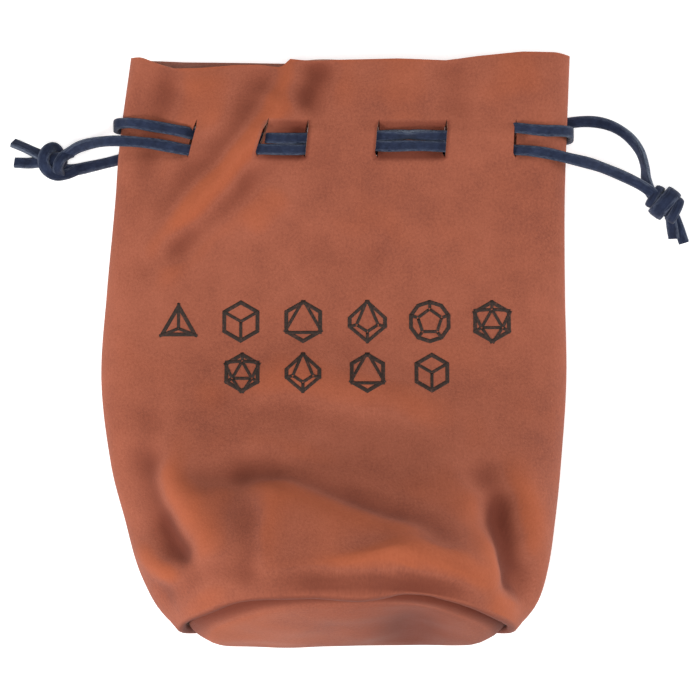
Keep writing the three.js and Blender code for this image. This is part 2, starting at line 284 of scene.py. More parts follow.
# The front's folds and hollows: their lines, their height, and their width to the left and to the
# right of the line.
FOLDS = [
    # the long fold from the mouth down over the second slot
    ([(-12.5, 90), (-15, 80), (-20.5, 69), (-24.4, 61), (-31, 52), (-41, 41.5), (-51, 30)], 5.6, 9, 3.6),
    ([(-4, 88), (-8, 78), (-13, 69)], -4.4, 5.5, 11),
    ([(-17.5, 56), (-25, 49), (-35, 40), (-46, 30), (-55, 23)], -2.9, 3.4, 5),
    ([(-13, 47), (-19, 41), (-27, 34)], 1.4, 5, 6),
    # the top left corner
    ([(-49.5, 88), (-49, 78), (-52, 68), (-55, 56), (-57, 46)], -2.2, 4, 7),
    ([(-38, 86), (-36, 72), (-37, 60)], 1.5, 7, 8),
    # the top right
    ([(34, 88), (34, 74), (36, 66)], -1.0, 5, 6),
    ([(53, 88), (54, 72)], 1.0, 9, 9),
    ([(20, 88), (19, 70)], 0.8, 8, 8),
    # the middle
    ([(-14, 29), (2, 26), (18, 25)], -0.9, 7, 7),
    ([(-34, -12), (-16, -8.5), (-3, -10), (18, -14), (38, -22)], 1.8, 7, 6),
    # the step where the front rises towards the base
    ([(-29, -41), (-20, -40), (-12, -42.5), (-4, -46), (5, -49.7), (15, -52.7), (32, -56)], 8.0, 12, 17),
    ([(-36, -36), (-29, -35), (-21, -34.5), (-12, -37), (-4, -40), (5, -43.7), (15, -47), (34, -51)],
     -5.0, 6.6, 4.8),
    # the lower left corner
    ([(-54, -22), (-55, -34), (-52, -46), (-47, -55), (-42, -63)], -4.2, 6.5, 9),
    ([(-54, -44), (-48, -52), (-41, -60)], -2.6, 6, 5),
    ([(-52, -30), (-47, -38), (-41, -44), (-36, -47)], 1.5, 5, 5),
    ([(-59, -55), (-52, -60.5), (-45, -64)], 2.2, 3.2, 3.2),
    ([(-52, -70), (-46, -69)], -1.8, 4, 4),
    ([(-38, -60), (-18, -63)], -1.2, 5, 5),
    # the lower right corner
    ([(44, -36), (48, -43), (52, -52), (55, -62), (55.5, -76)], -8.8, 4.2, 8),
    ([(43, -52), (45, -66)], 1.0, 3, 3),
    # above the base seam
    ([(-22, -70), (-8, -67.5), (6, -64.5), (22, -60), (33, -60), (39, -64)], 4.2, 3.2, 5),
    ([(14, -67), (22, -66), (30, -67)], -5.0, 3.6, 4.4),
]


def line_distance(points, line):
    """The distance of points from a line of (x, y) points, how far they are to its left (1) or its
    right (-1), and the share of the line's length that they are nearest to."""
    line = np.array(line, float)
    steps = np.diff(line, axis=0)
    lengths = np.linalg.norm(steps, axis=1)
    before = np.concatenate([[0], np.cumsum(lengths)])
    best = np.full(len(points), 1e9)
    side, share = np.zeros(len(points)), np.zeros(len(points))
    for k, (a, d, n) in enumerate(zip(line, steps, lengths)):
        off = points - a
        t = np.clip(off @ d / (n * n), 0, 1)
        gap = off - t[:, None] * d
        distance = np.linalg.norm(gap, axis=1)
        leftward = (d[0] * gap[:, 1] - d[1] * gap[:, 0]) / (n * np.maximum(distance, 0.01))
        nearer = distance < best
        best = np.where(nearer, distance, best)
        side = np.where(nearer, leftward, side)
        share = np.where(nearer, (before[k] + t * n) / before[-1], share)
    return best, side, share


def fold_height(points, line, height, left, right):
    distance, side, share = line_distance(points, line)
    width = right + (left - right) * smooth(-1, 1, side)
    ends = 0.35 + 0.65 * smooth(0, 0.25, share) * smooth(1, 0.75, share)
    return height * ends * np.exp(-((distance / width) ** 2))


def softened(values, times):
    """Values over the grid, blurred with their neighbours."""
    for _ in range(times):
        values = (values + np.roll(values, 1, 1) + np.roll(values, -1, 1)) / 3
        values[1:-1] = (values[:-2] + values[1:-1] + values[2:]) / 3
    return values


def ripples(points, size, count):
    """Soft seeded unevenness, with bumps of about the size given, from -1 to 1."""
    total = np.zeros(len(points))
    for _ in range(count):
        angle, phase = rng.uniform(0, 2 * math.pi, 2)
        wave = 2 * math.pi / (size * rng.uniform(0.7, 1.6))
        direction = np.array([math.cos(angle), math.sin(angle)])
        total += np.sin(points @ direction * wave + phase)
    return total / math.sqrt(count) / 1.4


def surface_normals(positions):
    """Outward normals of the wall's grid, which closes round its columns."""
    along = np.gradient(positions, axis=0)
    around = np.roll(positions, -1, axis=1) - np.roll(positions, 1, axis=1)
    normals = np.cross(around, along)
    return normals / np.maximum(np.linalg.norm(normals, axis=2, keepdims=True), 1e-9)


FLAT_XY = GRID[:, :, :2].reshape(-1, 2)
BODY = smooth(ROLL_ALONG, 0.05, GRID_ALONG)[:, None]  # the folds fade out at the base seam


def folded():
    """How far the folds move each point of the grid outwards."""
    front = np.zeros(len(FLAT_XY))
    for line, height, left, right in FOLDS:
        front += fold_height(FLAT_XY, line, height, left, right)
    front += 0.35 * ripples(FLAT_XY, 34, 10) + 0.1 * ripples(FLAT_XY, 11, 14)
    seam_roll = 1.0 * ripples(FLAT_XY * [1, 0.2], 22, 8)
    back = 0.35 * (ripples(FLAT_XY, 30, 10) - 1) * smooth(30, 50, FLAT_XY[:, 1])
    shape = GRID.shape[:2]
    front = softened(front.reshape(shape), 2)
    near_seam = smooth(0.08, ROLL_ALONG, GRID_ALONG)[:, None]
    out = front * FRONTNESS * (0.25 + 0.75 * BODY)
    out = out + seam_roll.reshape(shape) * near_seam * FRONTNESS * 0.5
    return out + back.reshape(shape) * BACKNESS


# The rim is not straight: how far its front and its back are moved along Y, as (x, shift).
RIM_FRONT = [(-62, -0.6), (-57, -0.5), (-52, -2.4), (-47, -3.9), (-40, -3.9), (-29, -2.9), (-22, -2.8),
             (-16, -3.6), (-13.4, -1.1), (-8, -1.4), (2, -1.3), (18, -1.1), (32, -1.5), (41, -0.3),
             (54, 0.9), (64, 0.8), (69, -0.2)]
RIM_BACK = [(-62, -0.6), (-45, -1.4), (0, -1.9), (40, -1.2), (69, -0.2)]


def rim_shift():
    """How far each point of the grid moves along Y, so that the rim rises and dips."""
    x = GRID[:, :, 0]
    front = np.interp(x, *zip(*RIM_FRONT))
    back = np.interp(x, *zip(*RIM_BACK))
    rise = np.where(ON_FRONT, front, back)
    return rise * smooth(0.86, 1.0, GRID_ALONG)[:, None] ** 1.5


PRESSED = 2.1  # how far the laces press the leather in where they lie on it
RAISED = 0.9  # and how far they raise it where they run under it
GAPE = 0.45  # how far each side of a slit stands open

# Which way the leather is moved in each stretch between slots, from the left edge to the right one.
# The middle stretch is there twice, because the wall is split in it.
STRETCHES = [-1, 1, -1, 1, 1, -1, 1, -1]


def stretch_signs():
    """-1 where a lace lies on the leather and 1 where it runs under it, to the left and to the
    right of each column."""
    signs = np.zeros(COLUMNS)
    marks = [0, *[column_at[x] for x in FRONT_MARKS], MARK_COLUMNS[8]]
    for sign, a, b in zip(STRETCHES, marks, marks[1:]):
        signs[a:b] = sign
    back_marks = [MARK_COLUMNS[8], *[back_column_at[x] for x in BACK_MARKS if x != SEAM_X], COLUMNS]
    for sign, a, b in zip(STRETCHES[::-1], back_marks, back_marks[1:]):
        signs[a:b] = sign
    return np.roll(signs, 1), signs


LEFT_SIGNS, RIGHT_SIGNS = stretch_signs()
SLIT_COLUMNS = sorted([*[column_at[x] for x in SLOT_XS], *[back_column_at[x] for x in SLOT_XS]])


def laced(signs, side):
    """How the laces move the grid's points: outwards, and along X, for the points that belong to
    the leather on one side (-1 left of a slit, 1 right of it, by column)."""
    y = GRID[:, :, 1]
    dy = y - SLOT_Y
    band = smooth(SLIT_HALF - 0.1, 2.6, np.abs(dy))
    gap = np.abs(np.subtract.outer(np.arange(COLUMNS), np.array(SLIT_COLUMNS)))
    away = gap.min(axis=1) * STEP
    near = np.exp(-((away / 7.0) ** 2))
    depth = np.where(signs < 0, -PRESSED * (0.55 + 0.45 * near), RAISED * (0.35 + 0.65 * near))
    edge_fade = smooth(0, 0.02, np.minimum(SHARES, 1 - SHARES)) * smooth(0, 0.02, np.abs(SHARES - 0.5))
    eased_band = near * band + (1 - near) * smooth(11, 2, np.abs(dy))
    out = np.where(signs < 0, band, eased_band) * (depth * edge_fade)[None, :]
    pull = np.exp(-((away / 3.0) ** 2)) * (gap.min(axis=1) < 6)
    nearest = np.array(SLIT_COLUMNS)[gap.argmin(axis=1)]
    before = np.where(np.arange(COLUMNS) < nearest, -1, 1)
    before = np.where(np.arange(COLUMNS) == nearest, side, before)
    facing = np.where(ON_FRONT, 1, -0.1)
    shift = GAPE * smooth(SLIT_HALF, 4.4, np.abs(dy)) * (pull * before * facing)[None, :]
    at_slots = GRID[SLIT_ROWS[0] + ROLL_ROWS, :, 0]
    lean = sum(k * np.exp(-(((at_slots - x0) / 6) ** 2)) for x0, k in zip(SLOT_XS, SLOT_LEANS))
    lean = lean * ON_FRONT
    shift = shift + lean[None, :] * np.clip(dy, -8, 8) * smooth(22, 8, np.abs(dy))
    return out, shift


def seam_dip(side):
    """The back seam's turned edges dip in and leave a groove."""
    gap = np.abs(np.arange(COLUMNS) - SEAM_COLUMN) * STEP
    dip = -0.85 * np.exp(-((gap / 0.9) ** 2))
    shift = np.where(np.arange(COLUMNS) == SEAM_COLUMN, -side * 0.06, 0)
    return dip[None, :], shift[None, :]


BASE_NORMALS = surface_normals(GRID)
FOLD_OUT = folded()
RIM_SHIFT = rim_shift()


def wall_side(signs, side):
    """The outside's positions for the leather on one side of each column's slit or seam."""
    out, shift = laced(signs, side)
    dip, part = seam_dip(side)
    at = GRID + BASE_NORMALS * (FOLD_OUT + out + dip)[:, :, None]
    at[:, :, 0] += shift + part
    at[:, :, 1] += RIM_SHIFT
    return at


LEFT_COPY = wall_side(LEFT_SIGNS, -1)
RIGHT_COPY = wall_side(RIGHT_SIGNS, 1)


def floor_clamp(at):
    """Nothing of the outside goes below the floor."""
    z = at[..., 2]
    at[..., 2] = np.where(z < 0.05, 0.05, z)


floor_clamp(LEFT_COPY)
floor_clamp(RIGHT_COPY)


def wall_topology():
    """Vertex numbers by row and column for the faces on each side of a column, and all positions.
    A slit's points, and the back seam's, are there twice."""
    rows = len(GRID)
    left = np.arange(rows * COLUMNS).reshape(rows, COLUMNS)
    right = left.copy()
    positions = [RIGHT_COPY.reshape(-1, 3)]
    source = [np.arange(rows * COLUMNS)]
    split = {c: range(SLIT_ROWS[0] + ROLL_ROWS + 1, SLIT_ROWS[1] + ROLL_ROWS) for c in SLIT_COLUMNS}
    split[SEAM_COLUMN] = range(rows)
    count = rows * COLUMNS
    for column, these in split.items():
        these = np.array(these)
        left[these, column] = count + np.arange(len(these))
        positions.append(LEFT_COPY[these, column])
        source.append(these * COLUMNS + column)
        count += len(these)
    return left, right, np.concatenate(positions), np.concatenate(source)


TO_LEFT, TO_RIGHT, WALL_POINTS, SOURCE = wall_topology()


def wall_quads():
    """Quads of the outside, facing out, and the column that each starts at."""
    nxt = (np.arange(COLUMNS) + 1) % COLUMNS
    a, b = TO_RIGHT[:-1], TO_LEFT[:-1][:, nxt]
    c, d = TO_LEFT[1:][:, nxt], TO_RIGHT[1:]
    quads = np.stack([a, b, c, d], axis=2).reshape(-1, 4)
    columns = np.tile(np.arange(COLUMNS), len(GRID) - 1)
    return quads, columns


WALL_QUADS, QUAD_COLUMNS = wall_quads()


def vertex_normals(points, quads):
    p = points[quads]
    normal = np.cross(p[:, 2] - p[:, 0], p[:, 3] - p[:, 1])
    total = np.zeros_like(points)
    for k in range(4):
        np.add.at(total, quads[:, k], normal)
    return total / np.maximum(np.linalg.norm(total, axis=1, keepdims=True), 1e-12)


WALL_NORMALS = vertex_normals(WALL_POINTS, WALL_QUADS)

# ---- Making meshes ----


class Build:
    """Gathers points, faces, materials, normals and values for one mesh. Points are in millimetres."""

    def __init__(self):
        self.points, self.faces, self.slots, self.normals, self.uvs, self.tones = [], [], [], [], [], []
        self.count = 0

    def add(self, points, faces, slots=0, normals=None, uvs=None, tones=None):
        """normals and uvs are by point, and faces without normals are shaded smooth."""
        points = np.asarray(points, float)
        slots = np.full(len(faces), slots) if np.isscalar(slots) else slots
        for face in faces:
            self.faces.append([int(v) + self.count for v in face])
        self.slots.extend(int(s) for s in slots)
        self.points.append(points)
        self.normals.append(np.zeros_like(points) if normals is None else normals)
        self.uvs.append(np.zeros((len(points), 2)) if uvs is None else uvs)
        self.tones.append(np.zeros(len(points)) if tones is None else tones)
        self.count += len(points)

    def make(self, name, materials, body=None):
        mesh = bpy.data.meshes.new(name)
        points = np.concatenate(self.points) * MM
        mesh.from_pydata(points.tolist(), [], self.faces)
        for material in materials:
            mesh.materials.append(material)
        mesh.polygons.foreach_set("material_index", self.slots)
        loops = np.empty(len(mesh.loops), int)
        mesh.loops.foreach_get("vertex_index", loops)
        uvs = np.concatenate(self.uvs)
        mesh.uv_layers.new(name="leather").data.foreach_set("uv", uvs[loops].ravel())
        # the point attribute holds painted light and shade for the leather, and corner wear for the laces
        tone = mesh.attributes.new("tone", "FLOAT", "POINT")
        tone.data.foreach_set("value", np.concatenate(self.tones).astype(np.float32))
        mesh.polygons.foreach_set("use_smooth", [True] * len(self.faces))
        normals = np.concatenate(self.normals)
        if np.abs(normals).max() > 0:
            mesh.normals_split_custom_set(normals[loops].tolist())
        obj = bpy.data.objects.new(name, mesh)
        bpy.context.scene.collection.objects.link(obj)
        if body:
            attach(obj, body)
        return obj


def shell(build, points, normals, quads, uvs, tones, thickness=LEATHER):
    """Adds a sheet of leather by its outside: an outside, an inside, and cut edges between them."""
    used, faces = np.unique(quads, return_inverse=True)
    faces = faces.reshape(quads.shape)
    p, n = points[used], normals[used]
    inner = p - n * thickness
    build.add(p, faces, 0, n, uvs[used], tones[used])
    build.add(inner, faces[:, ::-1], 1, -n, uvs[used], tones[used])
    edges = {}
    for face in faces:
        for a, b in zip(face, np.roll(face, -1)):
            if a != b:
                edges[(a, b)] = True
    border = np.array([(a, b) for a, b in edges if (b, a) not in edges])
    a, b = border[:, 0], border[:, 1]
    side = np.cross(p[b] - p[a], n[a] + n[b])
    side /= np.maximum(np.linalg.norm(side, axis=1, keepdims=True), 1e-9)
    corners = np.stack([p[b], p[a], inner[a], inner[b]], axis=1).reshape(-1, 3)
    around = np.repeat(side, 4, axis=0)
    strip_uv = np.stack([uvs[used][b], uvs[used][a], uvs[used][a], uvs[used][b]], axis=1).reshape(-1, 2)
    build.add(corners, np.arange(len(corners)).reshape(-1, 4), 2, around, strip_uv)


# ---- Materials ----


class Nodes:
    """A material's nodes, put together by short calls."""

    def __init__(self, name):
        self.material = bpy.data.materials.new(name)
        self.material.use_nodes = True
        self.tree = self.material.node_tree
        self.shader = self.tree.nodes["Principled BSDF"]

    def node(self, kind, **settings):
        node = self.tree.nodes.new(kind)
        for key, value in settings.items():
            if hasattr(node, key):
                setattr(node, key, value)
            else:
                self.put(node.inputs[key.replace("_", " ")], value)
        return node

    def put(self, socket, value):
        if isinstance(value, bpy.types.NodeSocket):
            self.tree.links.new(value, socket)
        elif isinstance(value, tuple) and len(value) == 3 and socket.type == "RGBA":
            socket.default_value = (*value, 1)
        else:
            socket.default_value = value

    def noise(self, vector, scale, detail=2, rough=0.55, seed=0.0):
        node = self.node("ShaderNodeTexNoise", noise_dimensions="4D")
        for key, value in (("Vector", vector), ("Scale", scale), ("Detail", detail), ("Roughness", rough),
                           ("W", seed)):
            self.put(node.inputs[key], value)
        return node.outputs["Fac"]

    def ramp(self, value, stops):
        node = self.node("ShaderNodeValToRGB")
        self.put(node.inputs["Fac"], value)
        elements = node.color_ramp.elements
        for (at, color), element in zip(stops[:2], elements):
            element.position, element.color = at, (*color, 1)
        for at, color in stops[2:]:
            elements.new(at).color = (*color, 1)
        return node.outputs["Color"]

    def limits(self, value, low, high, to_low=0.0, to_high=1.0):
        node = self.node("ShaderNodeMapRange")
        for k, v in enumerate((value, low, high, to_low, to_high)):
            self.put(node.inputs[k], v)
        return node.outputs["Result"]

    def mix(self, factor, a, b):
        node = self.node("ShaderNodeMix", data_type="RGBA")
        self.put(node.inputs["Factor"], factor)
        self.put(node.inputs["A"], a)
        self.put(node.inputs["B"], b)
        return node.outputs["Result"]

    def math(self, how, a, b):
        node = self.node("ShaderNodeMath", operation=how)
        self.put(node.inputs[0], a)
        self.put(node.inputs[1], b)
        return node.outputs["Value"]

    def weighted(self, *parts):
        """The sum of values, each times its weight."""
        total, *others = [self.math("MULTIPLY", value, weight) for value, weight in parts]
        for other in others:
            total = self.math("ADD", total, other)
        return total

    def bump(self, height, distance, strength=1.0, under=None):
        node = self.node("ShaderNodeBump")
        self.put(node.inputs["Height"], height)
        self.put(node.inputs["Distance"], distance)
        self.put(node.inputs["Strength"], strength)
        if under:
            self.put(node.inputs["Normal"], under)
        return node.outputs["Normal"]

    def finish(self, **values):
        for key, value in values.items():
            self.put(self.shader.inputs[key.replace("_", " ")], value)
        return self.material

    def at(self, which="UV"):
        return self.node("ShaderNodeTexCoord").outputs[which]

    def tone(self):
        return self.node("ShaderNodeAttribute", attribute_name="tone").outputs["Fac"]


DARK = (0.235, 0.066, 0.040)
MIDDLE = (0.335, 0.098, 0.056)
LIGHT = (0.41, 0.126, 0.074)
# The last two colours are painted light: a painted highlight for the folds' crests and painted shade for
# their hollows and grooves.
CREST_HIGHLIGHT_COLOR = (0.46, 0.108, 0.038)
HOLLOW_SHADE_COLOR = (0.16, 0.038, 0.022)


def suede(name, dark=DARK, middle=MIDDLE, light=LIGHT, nap=0.00016):
    """Brushed leather: cloudy dye, a fine nap, small pores, a painted highlight on the folds' crests and
    painted shade in their hollows.
    """
    n = Nodes(name)
    at = n.at()
    clouds = n.noise(at, 26, 4, 0.6)
    blotches = n.noise(at, 110, 3, 0.6, 3.0)
    specks = n.noise(at, 1300, 3, 0.7, 5.0)
    value = n.weighted((clouds, 0.36), (blotches, 0.24), (specks, 0.4))
    color = n.ramp(value, [(0.36, dark), (0.64, light), (0.5, middle)])
    # painted highlight where the attribute is above 0, and painted shade where it is below 0
    crest_highlight = n.limits(n.tone(), 0.05, 1.0, 0.0, 0.55)
    color = n.mix(crest_highlight, color, CREST_HIGHLIGHT_COLOR)
    hollow_shade = n.limits(n.tone(), -0.1, -2.0, 0.0, 0.95)
    color = n.mix(hollow_shade, color, HOLLOW_SHADE_COLOR)
    grain = n.noise(at, 2300, 3, 0.65, 7.0)
    pores = n.node("ShaderNodeTexVoronoi", feature="SMOOTH_F1")
    n.put(pores.inputs["Vector"], at)
    n.put(pores.inputs["Scale"], 900)
    relief = n.bump(clouds, 0.0005, 0.5)
    relief = n.bump(pores.outputs["Distance"], 0.0001, 0.6, relief)
    relief = n.bump(grain, nap, 1.0, relief)
    rough = n.limits(blotches, 0.3, 0.7, 0.74, 0.9)
    return n.finish(
        Base_Color=color,
        Normal=relief,
        Roughness=rough,
        Sheen_Weight=0.04,
        Sheen_Roughness=0.45,
        Sheen_Tint=(1.0, 0.75, 0.68),
        Specular_IOR_Level=0.14,
    )


def cut_leather(name, color, fleck):
    """A knife-cut edge: raw, fibrous and paler than the face."""
    n = Nodes(name)
    at = n.at("Object")
    fibres = n.noise(at, 2600, 3, 0.7)
    return n.finish(
        Base_Color=n.ramp(fibres, [(0.35, color), (0.65, fleck)]),
        Normal=n.bump(fibres, 0.0003),
        Roughness=0.9,
        Specular_IOR_Level=0.15,
    )


def lace_leather(name):
    """Dyed suede strip: fibres drawn along it, and paler where its corners have worn."""
    n = Nodes(name)
    at = n.at()
    stretched = n.node("ShaderNodeMapping")
    n.put(stretched.inputs["Vector"], at)
    n.put(stretched.inputs["Scale"], (0.25, 1.0, 1.0))
    fibres = n.noise(stretched.outputs["Vector"], 2200, 3, 0.7)
    patches = n.noise(at, 150, 3, 0.6, 2.0)
    value = n.weighted((fibres, 0.45), (patches, 0.55))
    color = n.ramp(value, [(0.36, (0.009, 0.013, 0.030)), (0.66, (0.032, 0.046, 0.096)),
                           (0.5, (0.017, 0.025, 0.056))])
    worn = n.math("MULTIPLY", n.tone(), n.limits(fibres, 0.4, 0.62))
    color = n.mix(worn, color, (0.09, 0.11, 0.16))
    relief = n.bump(patches, 0.0004, 0.6)
    return n.finish(
        Base_Color=color,
        Normal=n.bump(fibres, 0.00022, 1.0, relief),
        Roughness=0.82,
        Sheen_Weight=0.1,
        Sheen_Roughness=0.5,
        Specular_IOR_Level=0.14,
    )


def thread_fibre(name):
    """Twisted thread, with its fibres only just to be seen."""
    n = Nodes(name)
    at = n.at("Object")
    twist = n.noise(at, 1800, 2, 0.6)
    return n.finish(
        Base_Color=n.ramp(twist, [(0.35, (0.055, 0.022, 0.014)), (0.65, (0.15, 0.062, 0.04))]),
        Normal=n.bump(twist, 0.0003),
        Roughness=0.7,
    )


def screen_ink(name):
    """Printed ink, thin enough that the leather's nap breaks it up."""
    n = Nodes(name)
    at = n.at("Object")
    worn = n.limits(n.noise(at, 1300, 3, 0.7), 0.5, 0.72, 0.0, 0.55)
    return n.finish(
        Base_Color=n.mix(worn, (0.030, 0.021, 0.017), (0.16, 0.06, 0.042)),
        Normal=n.bump(n.noise(at, 2300, 3, 0.65, 4.0), 0.00012),
        Roughness=0.7,
        Specular_IOR_Level=0.25,
    )


LEATHER_FACE = suede("suede_face")
LEATHER_BACK = suede("suede_flesh", (0.30, 0.115, 0.082), (0.36, 0.150, 0.110), (0.43, 0.20, 0.15), 0.0003)
LEATHER_CUT = cut_leather("leather_cut_edge", (0.30, 0.12, 0.08), (0.52, 0.28, 0.20))
LACE = lace_leather("lace_suede")
LACE_CUT = cut_leather("lace_cut_edge", (0.05, 0.06, 0.09), (0.16, 0.19, 0.25))
THREAD = thread_fibre("sewing_thread")
INK = screen_ink("printed_ink")

# ---- Shares of the mouth's closing movement ----


def closing_share(x, along):
    """How much of the mouth's side movement a point of the wall has."""
    ring = stations_at(along)
    edge = np.where(x < 0, -ring[:, 2], ring[:, 3])
    sideways = np.clip(np.abs(x) / edge, 0, 1)
    return sideways * smooth(PINCH_FROM, PINCH_TO, along) * (1 - 0.07 * smooth(0.9, 1, along))


def closing_at_slots(x):
    """The closing share of points at the slots."""
    return closing_share(x, np.full(len(x), SLOT_ALONG))


GRID_SHARE = closing_share(GRID[:, :, 0].ravel(), np.repeat(GRID_ALONG, COLUMNS))
tree = KDTree(GRID_SHARE.size)
for k, p in enumerate(GRID.reshape(-1, 3)):
    tree.insert(p, k)
tree.balance()


def share_near(points):
    """The closing share of the wall where it is nearest to each point."""
    shares = []
    for p in points:
        found = tree.find_n(Vector(p), 4)
        weights = [1 / (d + 0.2) for _, _, d in found]
        shares.append(sum(w * GRID_SHARE[k] for w, (_, k, _) in zip(weights, found)) / sum(weights))
    return np.array(shares)


def follow(obj, shares):
    """Bakes a piece's placement into its mesh. The shares are not used."""
    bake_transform(obj)


def points_of(obj):
    """A mesh's points, in millimetres."""
    co = np.empty(len(obj.data.vertices) * 3)
    obj.data.vertices.foreach_get("co", co)
    return co.reshape(-1, 3) / MM


def follow_mouth(obj, shares=None):
    shares = share_near(points_of(obj)) if shares is None else shares
    follow(obj, shares)


# ---- The wall ----


FRONT_COLUMN = 40  # one that runs up the front, for the wall's lengths
# painted shade on the turned-in edge's rows, darkest deep in the base seam's groove
ROLL_SHADE_TONES = [-2, -2, -2, -2, -2, -1.5, -0.5]  # of the turned-in edge's rows, from deep in the groove
SHADED_WINDOWS = [(1, 2), (3, 4)]  # between these slots the laces lie on the front, and shade it
WINDOW_SHADE = 1.7


def wall_uvs():
    """The wall unrolled from the back seam, in metres, for its grain."""
    turned = (SHARES - SHARES[SEAM_COLUMN]) % 1
    u = np.tile(turned * GIRTH * MM, len(GRID))
    v = np.repeat(lengths_along(GRID[:, FRONT_COLUMN]) * MM, COLUMNS)
    return np.stack([u, v], axis=1)[SOURCE]


def painted_wall_light():
    """Painted light on the wall: above 0 for a painted highlight on the folds' crests and below 0 for
    painted shade in their hollows, by how the surface curves. The turned-in edge, and the windows where
    the laces lie on the leather, get painted shade, and the rim a painted highlight."""
    facing = smooth(0, 0.06, SHARES) * smooth(0.5, 0.44, SHARES)
    tones = 0
    # a painted highlight on the folds' crests and painted shade in their hollows, from how the surface
    # curves
    for times, height, crest_highlight in ((14, 0.9, 0.8), (70, 3.2, 0.15)):
        tones = tones + np.clip((FOLD_OUT - softened(FOLD_OUT, times)) / height, -1, crest_highlight) * facing
    # a painted highlight along the rim
    tones += 0.5 * smooth(0.992, 1.0, GRID_ALONG)[:, None]  # the rim is brighter
    # painted shade on the turned-in edge, in the base seam's groove
    tones[: len(ROLL_SHADE_TONES)] = np.array(ROLL_SHADE_TONES)[:, None]
    # painted shade in the windows where the laces lie on the front's leather
    in_band = smooth(6.4, 5, np.abs(GRID[:, :, 1] - SLOT_Y))
    for a, b in SHADED_WINDOWS:
        inside = np.zeros(COLUMNS)
        inside[column_at[SLOT_XS[a]] : column_at[SLOT_XS[b]] + 1] = 1
        tones = tones - WINDOW_SHADE * inside * in_band
    return tones.ravel()[SOURCE]


WALL_UVS = wall_uvs()
WALL_PAINTED_LIGHT = painted_wall_light()
in_left = (QUAD_COLUMNS >= SPLIT_BACK) | (QUAD_COLUMNS < SPLIT_FRONT)
for side, name, these in ((-1, "leather_wall_left", in_left), (1, "leather_wall_right", ~in_left)):
    build = Build()
    shell(build, WALL_POINTS, WALL_NORMALS, WALL_QUADS[these], WALL_UVS, WALL_PAINTED_LIGHT)
    wall = build.make(name, [LEATHER_FACE, LEATHER_BACK, LEATHER_CUT])
    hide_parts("wall")
    follow_mouth(wall)

outside = BVHTree.FromPolygons((WALL_POINTS * MM).tolist(), WALL_QUADS.tolist())


def surface_z(x, y, from_above):
    """The height of the wall's outside at (x, y), from above or from underneath, or None."""
    start, down = (0.2, -1) if from_above else (-0.01, 1)
    hit = outside.ray_cast(Vector((x * MM, y * MM, start)), Vector((0, 0, down)))
    return None if hit[0] is None else hit[0].z / MM


# ---- Laces ----

LACE_WIDTH, LACE_THICK = 3.2, 1.5
LACE_GAP = 0.05  # between a lace and the leather
SLIT_CLEAR = 0.9  # how near to a slit the leather's height is read
UPPER, LOWER = 62.4, 58.8  # Y of the two laces on the back

# A lace's section as (across, up): two faces and two cut sides, with worn corners.
LACE_SECTION = np.array([
    (-1.6, -0.45), (-1.45, -0.72), (-0.75, -0.75), (0.75, -0.75), (1.45, -0.72), (1.6, -0.45),
    (1.6, 0.45), (1.45, 0.72), (0.75, 0.75), (-0.75, 0.75), (-1.45, 0.72), (-1.6, 0.45),
])
# How worn each point of the section is.
CORNER_WEAR = np.array([0.7, 1, 0, 0, 1, 0.7, 0.7, 1, 0, 0, 1, 0.7])
SIDES = len(LACE_SECTION)
CUT_SIDES = {5, 11}  # of the section
PERIMETER = 9.4  # round the section


def band_of_lace(build, rings, length, closed=False):
    """Adds a lace by its rings of points, and how far along it each ring is."""
    count = len(rings)
    faces = lattice(count, SIDES, closed, flip=closed)
    slots = [int(side in CUT_SIDES) for side in range(SIDES)] * (len(faces) // SIDES)
    around = np.tile(np.linspace(0, PERIMETER, SIDES, endpoint=False), count)
    uvs = np.stack([np.repeat(length, SIDES), around], axis=1) * MM
    build.add(rings.reshape(-1, 3), faces, slots, None, uvs, np.tile(CORNER_WEAR, count))


def curve_through(points, step):
    """Points about a step apart on a smooth curve through the given ones, with all their columns."""
    points = np.asarray(points, float)
    length = lengths_along(points[:, :3])
    return eased(length, points, np.linspace(0, length[-1], max(4, round(length[-1] / step) + 1)))


def evened(values, times):
    """A moving average that keeps the ends."""
    for _ in range(times):
        values[1:-1] = (values[:-2] + 2 * values[1:-1] + values[2:]) / 4
    return values


def ribbon(build, path, rolls=0.0, upright=None):
    """Adds a flat lace along a path. It lies flat unless it is rolled; upright gives the direction
    that its width keeps to, where it turns over an edge."""
    path = np.asarray(path, float)
    along = unit(np.gradient(path, axis=0))
    if upright is None:
        across = np.cross([0, 0, 1], along)
    else:
        across = upright - (along @ upright)[:, None] * along
    across = unit(across)
    up = np.cross(along, across)
    roll = np.radians(np.broadcast_to(rolls, len(path)))[:, None]
    across, up = across * np.cos(roll) + up * np.sin(roll), up * np.cos(roll) - across * np.sin(roll)
    length = lengths_along(path)
    wide = 1 + 0.035 * np.sin(length / 5.3 + path[0, 0]) + 0.03 * np.sin(length / 2.1 + path[0, 1])
    rings = (
        path[:, None]
        + across[:, None] * (LACE_SECTION[:, 0] * wide[:, None])[:, :, None]
        + up[:, None] * LACE_SECTION[:, 1][None, :, None]
    )
    band_of_lace(build, rings, length)
    for ring, order in ((rings[0], 1), (rings[-1], -1)):
        build.add(ring, [list(range(SIDES))[::-order]], 1)


def lace_piece(name, path, **how):
    build = Build()
    ribbon(build, path, **how)
    obj = build.make(name, [LACE, LACE_CUT])
    return obj


